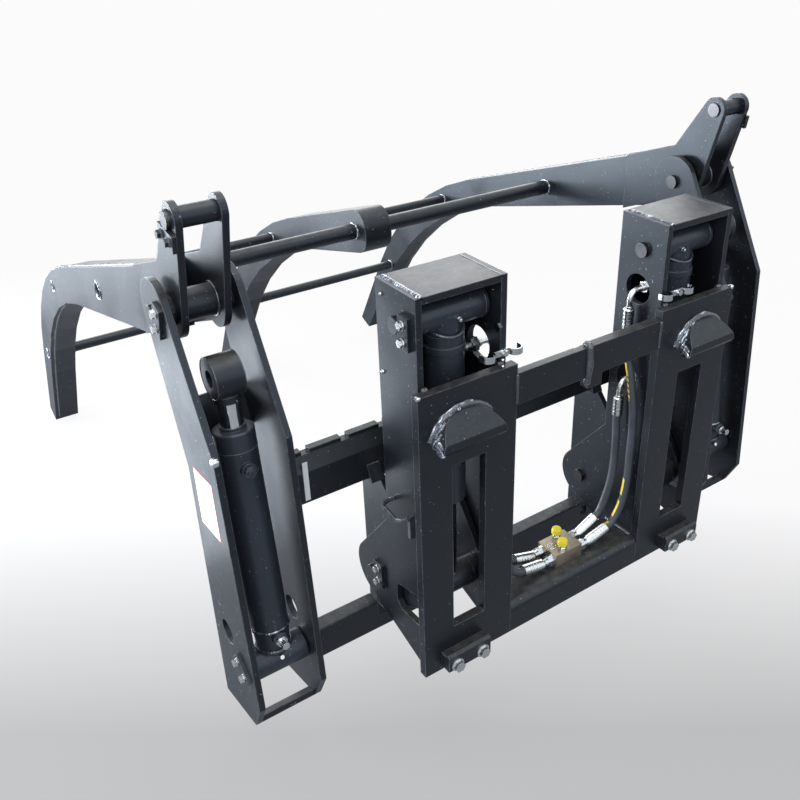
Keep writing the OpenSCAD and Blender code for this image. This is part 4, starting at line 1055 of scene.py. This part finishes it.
# X, Y, Z and radius of each weld dot, made bright zinc as a painted highlight; the first is on
# the left outer cheek
glint_dots = (
    (-672, 139, 533, 7), (-380, 3, 611, 4.5), (380, 3, 611, 4.5), (-371, 117, 750, 3),
    (-371, 121, 607, 3.5), (-207, 5, 626, 2.6), (-207, 5, 614, 2.6), (353, 121, 607, 3),
)
for n, (x, y, z, size) in enumerate(glint_dots):
    blob = [(x, y - size, z), (x, y, z + 1.5), (x, y + size, z)]
    body = "rear_mount" if n else "front_frame"
    weld_bead(f"weld_blob_{n}", body, blob, size, finish=zinc)
inner_bolts = Turned()
inner_bolts.add((-207, 16, 684), (-1, 0, 0), [(-1, 9), (4, 9), (5, 8)], 6)
inner_bolt_piece = inner_bolts.piece("inner_plate_bolts", pin_steel)
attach(inner_bolt_piece, "rear_mount")
print("Small marks:", len(glint_dots), "weld blobs")

# %% [markdown]
# ## The studio floor
# The pale floor runs back to white and fades to grey towards the camera. The fade is part of its
# own colour, so no lamp has to be shaped for it, and the camera sees it mostly as the floor's own
# light, which keeps the ground even. Polished faces mirror a darker floor, as in a workshop.


# %% The studio floor
def studio_floor():
    floor = Finish("studio floor", (0.9, 0.9, 0.9), 0.9)
    direction = floor.tree.nodes.new("ShaderNodeVectorMath")
    direction.operation = "DOT_PRODUCT"
    direction.inputs[1].default_value = (0.58, 0.815, 0)
    floor.link(floor.place.outputs["Object"], direction.inputs[0])
    depth = direction.outputs["Value"]
    fade = floor.spread(depth, -0.15, 0.62, 0.0, 1.0)
    tone = floor.mix(fade, (0.5, 0.5, 0.5), (0.97, 0.965, 0.97))
    floor.link(tone, floor.shader.inputs["Base Color"])
    glow = floor.tree.nodes.new("ShaderNodeEmission")
    rays = floor.tree.nodes.new("ShaderNodeLightPath")
    workshop_floor = (0.27, 0.29, 0.32)
    shown = floor.mix(rays.outputs["Is Glossy Ray"], tone, workshop_floor)
    floor.link(shown, glow.inputs["Color"])
    seen = floor.math("MAXIMUM", rays.outputs["Is Camera Ray"], rays.outputs["Is Glossy Ray"])
    own_light = floor.spread(depth, 0.6, 2.5, 0.8, 1.0)
    blend = floor.tree.nodes.new("ShaderNodeMixShader")
    floor.link(floor.math("MULTIPLY", seen, own_light), blend.inputs["Fac"])
    floor.link(floor.shader.outputs["BSDF"], blend.inputs[1])
    floor.link(glow.outputs["Emission"], blend.inputs[2])
    output = floor.tree.nodes["Material Output"]
    floor.link(blend.outputs["Shader"], output.inputs["Surface"])
    return floor.material


floor_z = cad_box[0][2] - 0.002
reach = 25
floor_corners = [(-reach, -reach), (reach, -reach), (reach, reach), (-reach, reach)]
floor_points = [(x, y, floor_z) for x, y in floor_corners]
floor = add_piece("floor", floor_points, [(0, 1, 2, 3)], studio_floor())
print("Floor at", round(floor_z, 3), "m")

# %% [markdown]
# ## The room
# The world lights matt parts softly, shows polished parts a brighter hall, and is plain white
# behind the clamp. The kind of ray chooses between the three, so the backdrop and the mirror
# images can differ.

# %% The room
world = bpy.data.worlds.new("studio")
bpy.context.scene.world = world
world.use_nodes = True
world_nodes, world_links = world.node_tree.nodes, world.node_tree.links


def background(node, color, strength):
    node.inputs["Color"].default_value = (*color, 1)
    node.inputs["Strength"].default_value = strength
    return node.outputs["Background"]


room = background(world_nodes["Background"], (0.75, 0.8, 0.88), 0.5)
hall = background(world_nodes.new("ShaderNodeBackground"), (0.88, 0.94, 1.0), 1.35)
white = background(world_nodes.new("ShaderNodeBackground"), (0.99, 0.98, 0.99), 1.0)
rays = world_nodes.new("ShaderNodeLightPath")
seen = world_nodes.new("ShaderNodeMath")
seen.operation = "MAXIMUM"
world_links.new(rays.outputs["Is Camera Ray"], seen.inputs[0])
world_links.new(rays.outputs["Is Transmission Ray"], seen.inputs[1])
mirrored = world_nodes.new("ShaderNodeMixShader")
world_links.new(rays.outputs["Is Glossy Ray"], mirrored.inputs["Fac"])
world_links.new(room, mirrored.inputs[1])
world_links.new(hall, mirrored.inputs[2])
pick = world_nodes.new("ShaderNodeMixShader")
world_links.new(seen.outputs["Value"], pick.inputs["Fac"])
world_links.new(mirrored.outputs["Shader"], pick.inputs[1])
world_links.new(white, pick.inputs[2])
world_links.new(pick.outputs["Shader"], world_nodes["World Output"].inputs["Surface"])
print("World:", world.name)

# %% [markdown]
# ## The lamps
# A bright panel ahead of the clamp and a warm one overhead draw the light tops of plates and
# tines. A panel on the left lights what faces left without being mirrored, and one high at the
# rear opens the shadows of the hook plates. Satin black shows mostly what it mirrors, so three
# weak patches on the floor and a low window far off give the left faces their sheen.


# %% The lamps
def soft_panel(name, place, target, width, height, power, color):
    data = bpy.data.lights.new(name, "AREA")
    data.shape = "RECTANGLE"
    data.size, data.size_y = width, height
    data.energy, data.color = power, color
    panel = bpy.data.objects.new(name, data)
    panel.location = place
    aim = Vector(target) - Vector(place)
    panel.rotation_euler = aim.to_track_quat("-Z", "Y").to_euler()
    panel.visible_camera = False
    bpy.context.scene.collection.objects.link(panel)
    return panel


centre, right_tine = (0, 0.5, 0.4), (0.58, 0.9, 0.6)
daylight, warm, sky = (1.0, 0.98, 0.95), (1.0, 0.94, 0.86), (0.86, 0.93, 1.0)
soft_panel("front windows", (2.8, 5.2, 1.7), centre, 6, 3.4, 170, daylight)
left = soft_panel("left windows", (-4.2, 0.6, 1.4), centre, 3.6, 3.0, 260, (0.85, 0.93, 1.0))
left.visible_glossy = False
soft_panel("ceiling", (-0.4, 0.2, 4.2), centre, 3.4, 3.4, 75, warm)
soft_panel("high rear", (-1.8, -3.4, 3.4), centre, 3.2, 1.6, 60, sky)
# Three bright patches on the floor that faces turned to the left mirror
for name, x, y, across, deep, power in (
    ("middle sheen", -1.5, 1.75, 0.8, 0.8, 10),
    ("near sheen", -1.05, 1.15, 0.8, 0.6, 2.4),
    ("tine sheen", -1.15, 3.2, 0.9, 0.8, 2.5),
):
    place = (x, y, floor_z + 0.01)
    soft_panel(name, place, (x, y, 3), across, deep, power, (0.84, 0.92, 1.0))
soft_panel("far window", (-3.0, 4.7, 0.25), right_tine, 2.6, 1.4, 430, sky)
